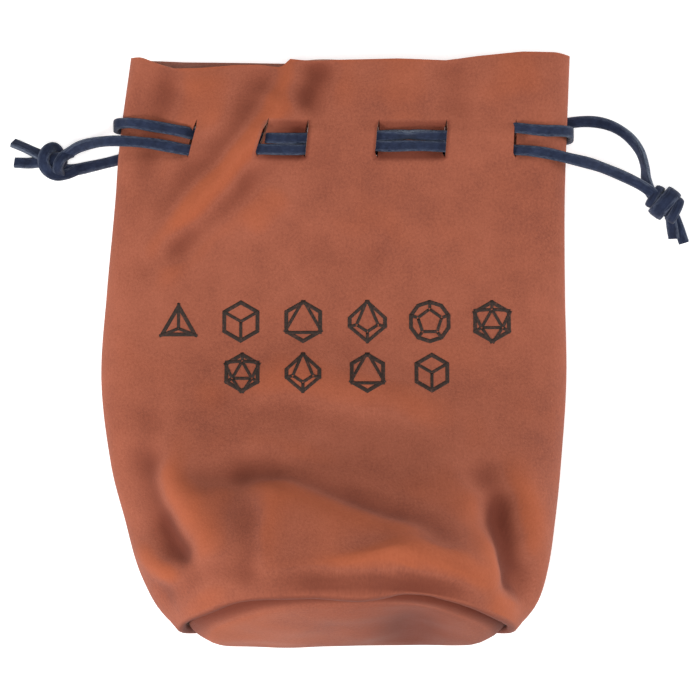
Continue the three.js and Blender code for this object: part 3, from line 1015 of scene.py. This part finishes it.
def woven_heights(xs, ys, from_above=True):
    """The heights of a lace that is woven through the slots, at each (x, y) along it."""
    out_sign = 1 if from_above else -1
    clear = LACE_THICK / 2 + LACE_GAP
    heights = []
    for x, y in zip(xs, ys):
        leans = np.array(SLOT_LEANS if from_above else [0] * 6) * (y - SLOT_Y)
        cuts = [-99, *(np.array(SLOT_XS) + leans), 99]
        windows = [(cuts[0], cuts[1]), (cuts[2], cuts[3]), (cuts[4], cuts[5]), (cuts[6], cuts[7])]
        gaps = [min(x - a, b - x) for a, b in windows]
        a, b = windows[int(np.argmax(gaps))]
        gap = max(gaps)
        outer = float(smooth(-1.1, 0.5, gap))
        over = np.clip(x, a + SLIT_CLEAR, b - SLIT_CLEAR)
        under = x
        if gap > -SLIT_CLEAR:
            under = b + SLIT_CLEAR if abs(b - x) < abs(a - x) else a - SLIT_CLEAR
        level = 0.0
        for share, at, within in ((outer, over, True), (1 - outer, under, False)):
            if share > 0:
                found = [surface_z(at, y + dy, from_above) for dy in (-1.4, 0, 1.4)]
                best = max(found) if from_above == within else min(found)
                level += share * (best + out_sign * (clear if within else -(LEATHER + clear)))
        heights.append(level)
    return evened(np.array(heights), 2)


def woven(name, points, replaced, from_above, rolls):
    """A lace's stretch between two slots, by (x, y) points along it."""
    points = np.asarray(points, float)
    xs = np.arange(points[0, 0], points[-1, 0] + 0.5, 1.0)
    ys = eased(points[:, 0], points[:, 1:2], xs)[:, 0]
    z = woven_heights(xs, ys, from_above)
    turn = 0.0 if rolls is None else np.interp(xs, *zip(*rolls))
    obj = lace_piece(name, np.stack([xs, ys, z], axis=1), rolls=turn)
    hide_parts(replaced)
    return obj


def split_at_middle(name, points, replaced, from_above=True, rolls=None):
    """A woven stretch in two halves that meet at the middle of the bag, under its leather."""
    points = np.asarray(points, float)
    middle = float(np.interp(0, points[:, 0], points[:, 1]))
    left = [*points[points[:, 0] < 0], (0, middle)]
    right = [(0, middle), *points[points[:, 0] > 0]]
    for side, half, tag in ((-1, left, "_left"), (1, right, "_right")):
        obj = woven(name + tag, half, replaced, from_above, rolls)
        follow_mouth(obj, closing_at_slots(points_of(obj)[:, 0]))


# (x, y) along each lace between its end slots. The front's laces swap levels under the middle.
split_at_middle("left_lace_weave_front",
                [(-37.8, 58.8), (-29, 58.2), (-21.5, 58.0), (-15, 58.0), (-8.8, 58.2), (2, 60.4),
                 (12, 62.0), (22, 62.4), (31.6, 62.2), (40, 62.6), (47.6, 63.6)],
                "left_lace_front_weave", rolls=[(8, 0), (12, 6), (21, 62), (28, 18), (36, 0)])
split_at_middle("right_lace_weave_front",
                [(-37.8, 62.6), (-29, 61.8), (-21.5, 61.3), (-15, 61.2), (-8.8, 61.4), (2, 61.2),
                 (12, 59.2), (22, 59.2), (31.6, 59.0), (40, 58.6), (47.6, 58.2)],
                "right_lace_front_weave")
split_at_middle("left_lace_weave_back", [(-37.8, LOWER), (0, LOWER + 0.2), (47.6, LOWER)],
                "left_lace_back_weave", from_above=False)
split_at_middle("right_lace_weave_back", [(-37.8, UPPER), (0, UPPER - 0.1), (47.6, UPPER)],
                "right_lace_back_weave", from_above=False)


TURN_FROM = {-1: -37.9, 1: 47.6}  # X where a turn starts, by side, just inwards of its slot
TURN_TO = 60.5  # and where it leaves the leather


def turn_path(side, front_levels, back_level, loose):
    """A lace from its slot on the front, round the bag's edge, to the same slot on the back. The
    levels are given along the front stretch, and it hangs loose from the edge by a little."""
    xs = np.linspace(TURN_FROM[side], side * TURN_TO, 26)
    level_y = np.interp(np.abs(xs), *zip(*front_levels))
    front_z = woven_heights(xs[::side], level_y[::side])[::side]
    front = np.stack([xs, level_y, front_z], axis=1)
    back_y = back_level + 0.6 * (level_y[-1] - back_level) * smooth(50, TURN_TO, np.abs(xs))
    back_z = woven_heights(xs[::-side], back_y, False)[::-side]
    back = np.stack([xs, back_y, back_z], axis=1)[::-1]
    edge_x = slot_ring.left if side < 0 else slot_ring.right
    top, bottom = front[-1], back[0]
    middle_z = (top[2] + bottom[2]) / 2
    edge = np.array([
        (edge_x - side * 2.6, top[1], top[2] - 0.5),
        (edge_x + side * (0.3 + loose * 0.5), top[1] * 0.9 + bottom[1] * 0.1, top[2] - 2.9),
        (edge_x + side * (0.9 + loose), (top[1] + bottom[1]) / 2, middle_z),
        (edge_x + side * (0.3 + loose * 0.5), top[1] * 0.1 + bottom[1] * 0.9, bottom[2] + 2.9),
        (edge_x - side * 2.6, bottom[1], max(bottom[2] + 0.3, 1.0)),
    ])
    corner = curve_through(np.concatenate([front[-2:], edge, back[:2]]), 0.8)[1:-1]
    path = np.concatenate([front[:-2], corner, back[2:]])
    path[:, 2] = np.maximum(path[:, 2], 0.8)
    return path


TURNS = [
    # the lace, its side, its (X, Y) on the front, its Y on the back, and how loose it hangs
    ("right_lace_turn", -1, [(37.9, 62.4), (42, 62.8), (50, 64.4), (57, 65.6), (62, 66.2)], UPPER, 0.3),
    ("left_lace_turn", 1, [(47.6, 63.8), (51.9, 64.4), (57, 63.8), (62, 63.4)], LOWER, 0.4),
]
for name, side, levels, back_level, loose in TURNS:
    turn = lace_piece(name + "_strip", turn_path(side, levels, back_level, loose),
                      upright=np.array([0, 1.0, 0]))
    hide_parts(name)
    follow_mouth(turn, closing_at_slots(points_of(turn)[:, 0]))

# ---- The laces' ends and knots: the object's free cords ----

# Each strand runs out of its slot, through its knot, to its cut tail: (x, y, z, roll in degrees).
STRANDS = {
    "left_strand_front": [
        (-37.9, 58.6, 16, 0), (-42, 57.9, 16, 0), (-48, 58.9, 16.2, 0), (-54, 59.9, 17, 0),
        (-61, 60.5, 17.4, -4), (-66.5, 60.6, 15.6, -10), (-71.5, 60.2, 11.8, -22), (-75.6, 59.2, 8.4, -30),
        (-78.6, 57.6, 6.4, -30), (-81, 56.4, 5.2, 0), (-84.5, 56.5, 4.8, 20), (-87.6, 57.6, 4.4, 35),
        (-91, 59.2, 3.2, 45), (-95.2, 61.0, 2.0, 50),
    ],
    "left_strand_back": [
        (-37.9, 58.8, 3, 0), (-42, 58.6, 2.6, 0), (-48, 58.4, 1.6, 0), (-53, 57.9, 1.1, 0),
        (-61, 56.8, 0.95, 0), (-67, 55.3, 0.95, 8), (-73, 53.9, 1.4, 14), (-77.4, 53.0, 2.2, 10),
        (-80.5, 53.3, 3.0, 0), (-84.2, 55.0, 3.2, 0), (-87.4, 55.3, 2.6, 10), (-90.6, 55.0, 1.8, 16),
        (-94.8, 55.2, 1.2, 20),
    ],
    "right_strand_front": [
        (47.6, 58.2, 16, 0), (51.9, 58.0, 16, 0), (56, 57.7, 16.4, 0), (61.6, 56.9, 17.3, 0),
        (68.5, 55.3, 17.0, 8), (74.5, 54.0, 14, 14), (80, 52.3, 10.4, 22), (85.5, 50.1, 8.2, 24),
        (90, 47.8, 7.2, 20), (93.6, 45.2, 6.2, 10), (96.6, 42.0, 5.0, 0), (98.0, 39.4, 4.4, 0),
        (98.6, 36.6, 3.4, 14), (99.4, 33.0, 1.7, 24),
    ],
    "right_strand_back": [
        (47.6, 62.4, 3, 0), (51.9, 62.6, 2.6, 0), (56, 63.6, 1.6, 0), (61, 65.0, 1.1, 0),
        (69.5, 67.0, 1.1, 10), (76, 67.2, 1.3, 16), (81.4, 65.8, 1.5, 24), (86, 62.8, 1.7, 40),
        (89.3, 58.6, 1.9, 60), (90.8, 54.0, 2.0, 66), (91.2, 50.0, 2.2, 50), (92.4, 46.4, 3.0, 20),
        (95.6, 42.6, 3.6, 0), (99.0, 39.6, 3.2, 0), (100.5, 36.6, 2.4, 10), (102.4, 31.6, 1.2, 16),
    ],
}
STRAND_ENDS = {
    "left_strand_front": ("left_lace_front_end", "left_lace_tail_upper"),
    "left_strand_back": ("left_lace_back_end", "left_lace_tail_lower"),
    "right_strand_front": ("right_lace_front_end", "right_lace_tail_lower"),
    "right_strand_back": ("right_lace_back_end", "right_lace_tail_upper"),
}
KNOT_X = {-1: -78.0, 1: 92.0}  # beyond these, a strand's share of its knot's movement is whole
LEATHER_EDGE = {-1: -62.0, 1: 65.0}  # within these, a strand lies against the leather


def strand_path(points, front):
    """A strand's path, lifted onto the leather where it leaves the slot."""
    path = curve_through(points, 1.0)
    side = -1 if path[-1, 0] < 0 else 1
    on = np.abs(path[:, 0]) < abs(LEATHER_EDGE[side])
    inner = int(on.sum())
    xs, ys = path[:inner, 0], path[:inner, 1]
    levels = woven_heights(xs, ys, front)
    free = path[:inner, 2]
    beyond = np.abs(xs) > abs(END_SLOT_X[side]) + 3
    pick = np.maximum(levels, free) if front else np.minimum(levels, free)
    path[:inner, 2] = np.where(beyond, pick, levels)
    path[:, 2] = evened(np.maximum(path[:, 2], 0.8), 2)
    return path


def pull_shares(x, side):
    """The share of the knot's movement that a strand has, so that its end in the slot keeps with
    the leather there."""
    slot_x = END_SLOT_X[side]
    at_slot = (1 - closing_at_slots(np.array([slot_x]))[0]) / 2
    inside = (1 - closing_at_slots(x)) / 2
    t = np.clip((x - slot_x) / (KNOT_X[side] - slot_x), 0, 1)
    return np.where(np.abs(x) < abs(slot_x), inside, at_slot + (1 - at_slot) * t)


def loop(build, centre, axis, flat, radii, width, thick, tilt):
    """Adds a closed band of lace round an axis. flat is the direction of its longer radius."""
    axis, flat = unit(np.array(axis, float)), np.array(flat, float)
    flat = unit(flat - axis * (flat @ axis))
    third = np.cross(axis, flat)
    angle = np.linspace(0, 2 * math.pi, 40, endpoint=False)
    cos, sin = np.cos(angle), np.sin(angle)
    power = 0.8  # a little squarer than an ellipse
    out_flat, out_third = np.sign(cos) * np.abs(cos) ** power, np.sign(sin) * np.abs(sin) ** power
    middle = np.array(centre) + np.outer(out_flat * radii[0], flat) + np.outer(out_third * radii[1], third)
    middle += np.outer(tilt * cos, axis)
    outward = unit(np.outer(out_flat / radii[0], flat) + np.outer(out_third / radii[1], third))
    section = LACE_SECTION * [width / LACE_WIDTH, thick / LACE_THICK]
    crown = 0.35 * (1 - (section[:, 0] / section[:, 0].max()) ** 2)
    lift = (section[:, 1] + crown)[:, None]
    rings = middle[:, None] + axis * section[:, 0][:, None] + outward[:, None] * lift
    band_of_lace(build, rings, angle * (radii[0] + radii[1]) / 2, closed=True)


def lump(build, centre, radii, axis):
    """Adds the knot's hidden heart, which fills the gaps between its turns."""
    axis = unit(np.array(axis, float))
    across = np.cross([0, 0, 1], axis)
    rows, cols = 9, 16
    points = []
    for r in range(rows):
        polar = math.pi * (r + 0.5) / rows
        for c in range(cols):
            turn = 2 * math.pi * c / cols
            grow = 1 + 0.07 * math.sin(3 * turn + 2 * polar)
            out = grow * math.sin(polar)
            points.append(centre + axis * radii[0] * math.cos(polar)
                          + across * radii[1] * out * math.cos(turn)
                          + np.array([0, 0, 1]) * radii[2] * out * math.sin(turn))
    faces = lattice(rows, cols, flip=True)
    build.add(points, faces + [face[::-1] for face in caps(rows, cols)])


def left_knot():
    """A turn of lace round the knot's heart, and another across it."""
    build = Build()
    lump(build, (-82.2, 55.4, 4.0), (3.3, 2.9, 2.7), (1, -0.1, 0))
    round_over = [(-76.5, 52.9, 2.8), (-79.2, 51.7, 3.6), (-82.4, 51.3, 4.8), (-85.0, 53.0, 6.2),
                  (-85.8, 55.6, 7.0), (-85.0, 58.2, 6.6), (-83.4, 59.4, 4.8), (-82.3, 59.0, 2.8),
                  (-81.4, 57.4, 1.6)]
    ribbon(build, curve_through(round_over, 0.7), rolls=-8)
    cross_over = [(-77.6, 58.0, 5.8), (-79.8, 56.8, 6.9), (-81.2, 54.8, 7.2), (-81.6, 52.9, 6.2),
                  (-81.3, 51.6, 4.2)]
    ribbon(build, curve_through(cross_over, 0.7), rolls=12)
    return build


def right_knot():
    """Three closed turns of lace round the knot's heart."""
    build = Build()
    lump(build, (96.8, 42.6, 4.2), (3.4, 3.6, 2.9), (0.8, -0.6, 0))
    loop(build, (96.4, 43.1, 4.3), (0.8, -0.6, 0.05), (0.59, 0.81, 0), (4.1, 3.0), 4.6, 1.4, 0.3)
    loop(build, (99.3, 41.2, 4.1), (0.85, -0.5, -0.1), (0.45, 0.85, 0.1), (3.1, 2.5), 3.0, 1.3, -0.4)
    loop(build, (93.6, 45.0, 4.2), (0.9, -0.4, 0.2), (0.5, 0.8, 0.1), (2.7, 2.3), 2.6, 1.3, 0.5)
    return build


for side, name, make, cad in ((-1, "left_knot", left_knot, "left_lace_knot"),
                              (1, "right_knot", right_knot, "right_lace_knot")):
    make().make(name, [LACE, LACE_CUT], "left_pull" if side < 0 else "right_pull")
    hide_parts(cad)

for name, points in STRANDS.items():
    side = -1 if points[-1][0] < 0 else 1
    front = name.endswith("front")
    path = strand_path(points, front)
    strand = lace_piece(name, path[:, :3], rolls=path[:, 3])
    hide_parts(*STRAND_ENDS[name])
    follow(strand, pull_shares(points_of(strand)[:, 0], side))
    slot_at = path[np.abs(path[:, 0] - END_SLOT_X[side]).argmin(), :3]

# ---- The base ----

BASE_TURN = 2 * ROLL + 0.25  # inset of the base panel's turned-up edge
# how far it bellies out, by its share of the height
BASE_BELLY = np.array([(0, 4.6), (0.2, 5.8), (0.45, 4.6), (0.7, 3.2), (0.85, 2.8), (1, 2.6)], float)

# painted shade on the panel's first rows, deep in the base seam's groove
GROOVE_SHADE_TONES = [-2, -2, -2, -2, -2, -2, -1.5, -0.6]  # of the panel's first rows, deep in the groove


def base_dent(x, height):
    """1 in the middle of the dent on the panel's right."""
    return np.exp(-(((x - 22) / 11) ** 2) - ((height - 42) / 20) ** 2)


def base_panel():
    """A round panel set inside the wall's turned edge. It bellies out, with a dent on the right."""
    ring = Ring(ROLL_ALONG)
    count = 150
    shares = np.linspace(0, 1, count, endpoint=False)
    edge = [(BASE_TURN, -3.4), (BASE_TURN, -2.2), (BASE_TURN + 0.1, -1.4), (BASE_TURN + 0.3, -0.6),
            (BASE_TURN + 0.8, 0.3), (BASE_TURN + 1.6, 1.2)]
    rows = [ring.place(at_shares(ring.outline(inset), shares), out) for inset, out in edge]
    rim_flat = at_shares(ring.outline(BASE_TURN + 1.6), shares)
    middle = rim_flat.mean(axis=0)
    shrink = np.linspace(1, 0, 30)[1:-1]
    for k in shrink:
        flat = middle + (rim_flat - middle) * k
        reach = 1 - k
        belly = eased(BASE_BELLY[:, 0], BASE_BELLY[:, 1:], flat[:, 1] / ring.height)[:, 0]
        belly = belly - 3.4 * base_dent(flat[:, 0], flat[:, 1])
        at = ring.place(flat)
        rows.append(at + (1.2 + (belly - 1.2) * smooth(-0.05, 0.15, reach))[:, None] * ring.outward)
    rows = np.array(rows)
    reach = np.concatenate([np.zeros(len(edge)), 1 - shrink])
    uneven = 0.35 * ripples(rows[:, :, ::2].reshape(-1, 2), 16, 6).reshape(rows.shape[:2])
    rows += (uneven * smooth(0, 0.3, reach)[:, None])[:, :, None] * ring.outward
    points = rows.reshape(-1, 3)
    points = np.concatenate([points, rows[-1].mean(axis=0)[None]])
    faces = lattice(len(rows), count)
    last = (len(rows) - 1) * count
    for c in range(0, count, 2):
        faces.append([last + c, last + c + 1, last + (c + 2) % count, len(points) - 1])
    faces = np.array(faces)
    if np.mean(vertex_normals(points, faces) @ ring.outward) < 0:
        faces = faces[:, ::-1]
    flat_uv = np.stack([points[:, 0], (points - ring.back) @ ring.up], axis=1) * MM
    x, height = points[:, 0], (points - ring.back) @ ring.up
    # Painted light on the panel: a painted highlight on its left, and painted shade on its right, in the
    # dent and towards its lower part.
    tones = 0.5 - 1.2 * smooth(-30, 8, x) - 1.6 * base_dent(x, height) - 0.7 * smooth(40, 18, height)
    tones[: len(GROOVE_SHADE_TONES) * count] = np.repeat(GROOVE_SHADE_TONES, count)
    build = Build()
    shell(build, points, vertex_normals(points, faces), faces, flat_uv, tones)
    return build


base = base_panel().make("base_panel", [LEATHER_FACE, LEATHER_BACK, LEATHER_CUT], "bag")
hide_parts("base")

# ---- Seams ----


def stitch(build, a, b, outward, radius, arch):
    """Adds one stitch of thread, which arches between its two holes."""
    along = unit(b - a)
    across = unit(np.cross(along, outward))
    outward = np.cross(across, along)
    sides, rings = 6, 6
    points = []
    for k in range(rings):
        t = k / (rings - 1)
        swell = radius * (0.45 + 0.55 * math.sin(math.pi * t) ** 0.5)
        centre = a + (b - a) * t + outward * arch * math.sin(math.pi * t)
        for s in range(sides):
            turn = 2 * math.pi * s / sides
            points.append(centre + swell * (across * math.cos(turn) + outward * math.sin(turn)))
    build.add(points, lattice(rings, sides) + caps(rings, sides))


BASE_STITCHES = 84  # round the panel


def base_stitches():
    """A running stitch round the base panel, inside the groove."""
    build = Build()
    ring = Ring(ROLL_ALONG)
    outline = ring.outline(2 * ROLL + 0.12)
    for k in range(BASE_STITCHES):
        pair = at_shares(outline, [(k + 0.14) / BASE_STITCHES, (k + 0.86) / BASE_STITCHES])
        a, b = ring.place(pair, -1.0)
        stitch(build, a, b, ring.outward, 0.3, 0.3)
    return build


def back_stitches():
    """Short stitches across the groove of the back seam."""
    build = Build()
    rows = np.arange(ROLL_ROWS + 3, len(GRID) - 2, 3)
    for r in rows:
        here = GRID[r, SEAM_COLUMN]
        normal = BASE_NORMALS[r, SEAM_COLUMN]
        z = surface_z(here[0] + 1.2, here[1], False)
        if z is None or abs(z - here[2]) > 6:
            continue
        middle = np.array([here[0], here[1], z])
        offset = np.array([0.75, 0.35, 0])
        stitch(build, middle - offset, middle + offset, normal, 0.2, -0.1)
    return build


base_thread = base_stitches().make("base_seam_stitches", [THREAD], "bag")
back_thread = back_stitches().make("back_seam_stitches", [THREAD])
for piece, node in ((base_thread, "base_seam_thread"), (back_thread, "back_seam_thread")):
    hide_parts(node)
follow_mouth(back_thread)


def seam_flaps():
    """The back seam's two raw edges inside the bag, pressed open."""
    build = Build()
    rows = np.arange(ROLL_ROWS + 6, len(GRID) - 1)
    beside = []
    for copy, column in ((LEFT_COPY, SEAM_COLUMN - 5), (RIGHT_COPY, SEAM_COLUMN + 5)):
        beside.append(copy[rows, column] - BASE_NORMALS[rows, column] * (LEATHER + 0.12))
    middle = (beside[0] + beside[1]) / 2
    normals = -BASE_NORMALS[rows, SEAM_COLUMN]
    wave = 0.15 * np.sin(middle[:, 1] / 4.2)
    for side in (-1, 1):
        section = [(0.15, 0), (4.4, 0), (4.5, 0.95), (2.5, 1.15), (0.15, 1.1)]
        rings = []
        for x, up in section:
            at = middle + normals * (up + 0.05)
            at[:, 0] += side * (x + (wave if x > 4 else 0))
            rings.append(at)
        rings = np.array(rings).transpose(1, 0, 2)
        faces = lattice(len(rows), len(section)) + caps(len(rows), len(section))
        faces = [face if side < 0 else face[::-1] for face in faces]
        slots = [0] * (len(faces) - 2) + [1, 1]
        build.add(rings.reshape(-1, 3), faces, slots, None, rings.reshape(-1, 3)[:, :2] * MM)
    return build


flaps = seam_flaps().make("back_seam_allowance", [LEATHER_BACK, LEATHER_CUT])
follow_mouth(flaps)

# ---- The print: plain outlines of dice ----


def corners_of(sides, radius):
    """The corners of a regular polygon, from the top one."""
    angles = np.radians(90 + 360 / sides * np.arange(sides))
    return np.stack([radius * np.cos(angles), radius * np.sin(angles)], axis=1)


def die(kind):
    """A die's outline as a closed polygon, and the lines inside it."""
    if kind == 4:
        outer = corners_of(3, 6.6)
        return outer, [(corner, (0, -1.0)) for corner in outer]
    if kind == 6:
        outer = corners_of(6, 6.2)
        return outer, [(outer[k], (0, 0)) for k in (1, 3, 5)]
    if kind == 8:
        outer = corners_of(6, 6.3)
        return outer, [(outer[0], outer[2]), (outer[0], outer[4]), (outer[2], outer[4])]
    if kind == 10:
        outer = np.array([(0, 6.4), (5.7, 1.2), (5.7, -1.6), (0, -6.4), (-5.7, -1.6), (-5.7, 1.2)])
        low = np.array([(-3.1, -0.9), (0, -2.9), (3.1, -0.9)])
        return outer, [(outer[0], low[0]), (outer[0], low[2]), (low[0], low[1]), (low[2], low[1]),
                       (low[1], outer[3]), (low[0], outer[4]), (low[2], outer[2])]
    if kind == 12:
        outer = corners_of(10, 6.3)
        inner = corners_of(5, 3.6)
        lines = [(inner[k], inner[(k + 1) % 5]) for k in range(5)]
        return outer, lines + [(inner[k], outer[2 * k]) for k in range(5)]
    outer = corners_of(6, 6.3)
    inner = corners_of(3, 3.5)
    lines = [(inner[k], inner[(k + 1) % 3]) for k in range(3)]
    lines += [(inner[k], outer[2 * k]) for k in range(3)]
    for k in range(3):
        lines += [(inner[k], outer[beside]) for beside in sorted(((2 * k + 1) % 6, (2 * k - 1) % 6))]
    return outer, lines


STROKE = 1.15  # the width of an outline


def laid(points, lift):
    """Flat (x, y) points laid on the front of the wall."""
    placed = []
    for x, y in points:
        hit = outside.ray_cast(Vector((x * MM, y * MM, 0.2)), Vector((0, 0, -1)))
        placed.append(np.array(hit[0]) / MM + np.array(hit[1]) * lift)
    return np.array(placed)


def inked_band(build, left, right, lift, closed):
    """Adds a band of ink between two flat lines with as many points, sunk a little at its sides."""
    across = [left + (right - left) * t for t in (0, 0.02, 0.34, 0.66, 0.98, 1)]
    lifts = [-0.05, lift, lift, lift, lift, -0.05]
    rows = np.array([laid(line, up) for line, up in zip(across, lifts)])
    rows = rows.transpose(1, 0, 2)
    count, width = rows.shape[:2]
    faces = lattice(count, width, closed) + ([] if closed else caps(count, width))
    build.add(rows.reshape(-1, 3), faces)


def fine(points, step=0.8, closed=True):
    """Points no more than a step apart along a polygon or a line."""
    points = np.asarray(points, float)
    ends = np.concatenate([points, points[:1]]) if closed else points
    parts = []
    for a, b in zip(ends[:-1], ends[1:]):
        count = max(1, int(np.linalg.norm(b - a) / step))
        parts.append(a + (b - a) * np.arange(count)[:, None] / count)
    if not closed:
        parts.append(ends[-1:])
    return np.concatenate(parts)


def print_die(build, kind, x, y, scale):
    """Adds a die's outline, and the lines inside it, laid on the leather."""
    outer, lines = die(kind)
    at = np.array([x, y])
    turned = np.cross(outer[0], outer[1]) > 0
    size = np.linalg.norm(outer, axis=1).max()
    inset = STROKE / (size * math.cos(math.pi / len(outer)) * scale)
    big = fine(outer, 0.8 / scale)
    small = big * (1 - inset)
    left, right = (small, big) if turned else (big, small)
    inked_band(build, left * scale + at, right * scale + at, 0.07, True)
    for k, (a, b) in enumerate(lines):
        a, b = np.asarray(a, float) * scale, np.asarray(b, float) * scale
        way = unit(b - a)
        side = np.array([-way[1], way[0]]) * STROKE * 0.4
        middle = fine([a + way * 0.25, b - way * 0.1], 0.8, False) + at
        inked_band(build, middle + side, middle - side, 0.085 + 0.006 * k, False)


# each die's number of faces, and where its middle is
PRINTED = [
    (4, -45.5, 7.2), (6, -27.5, 8.2), (8, -9.5, 8.2), (10, 9.0, 8.2), (12, 27.0, 8.2), (20, 45.0, 8.2),
    (20, -27.0, -6.5), (10, -9.5, -6.5), (8, 9.0, -6.5), (6, 27.5, -6.5),
]
for side, name in ((-1, "print_left"), (1, "print_right")):
    build = Build()
    for kind, x, y in PRINTED:
        if x * side > 0:
            print_die(build, kind, x, y, 1.0 if y > 0 else 0.93)
    ink = build.make(name, [INK])
    follow_mouth(ink)

# ---- Floor and light ----

floor_mesh = bpy.data.meshes.new("floor")
floor_mesh.from_pydata([(-3, -3, 0), (3, -3, 0), (3, 3, 0), (-3, 3, 0)], [], [(0, 1, 2, 3)])
floor = bpy.data.objects.new("floor", floor_mesh)
bpy.context.scene.collection.objects.link(floor)
floor_nodes = Nodes("floor_paper")
floor_mesh.materials.append(floor_nodes.finish(
    Base_Color=(0.88, 0.88, 0.88), Roughness=0.9, Specular_IOR_Level=0.1,
    Emission_Color=(1.0, 1.0, 1.0), Emission_Strength=0.5,
))


def area_light(name, at, size, watts, color=(1, 1, 1)):
    data = bpy.data.lights.new(name, "AREA")
    data.shape, data.size, data.energy, data.color = "DISK", size, watts, color
    light = bpy.data.objects.new(name, data)
    light.location = at
    light.rotation_euler = (-Vector(at)).to_track_quat("-Z", "Y").to_euler()
    bpy.context.scene.collection.objects.link(light)


area_light("overhead", (0, -0.1, 1.5), 0.7, 11.5)
area_light("key", (-0.95, -0.55, 0.7), 0.35, 10, (1.0, 0.98, 0.95))
area_light("fill", (1.2, 0.1, 0.3), 0.5, 7)

world = bpy.data.worlds.new("studio")
world.use_nodes = True
world.node_tree.nodes["Background"].inputs["Color"].default_value = (1, 1, 1, 1)
world.node_tree.nodes["Background"].inputs["Strength"].default_value = 0.24
bpy.context.scene.world = world
bpy.context.scene.view_settings.view_transform = "Standard"
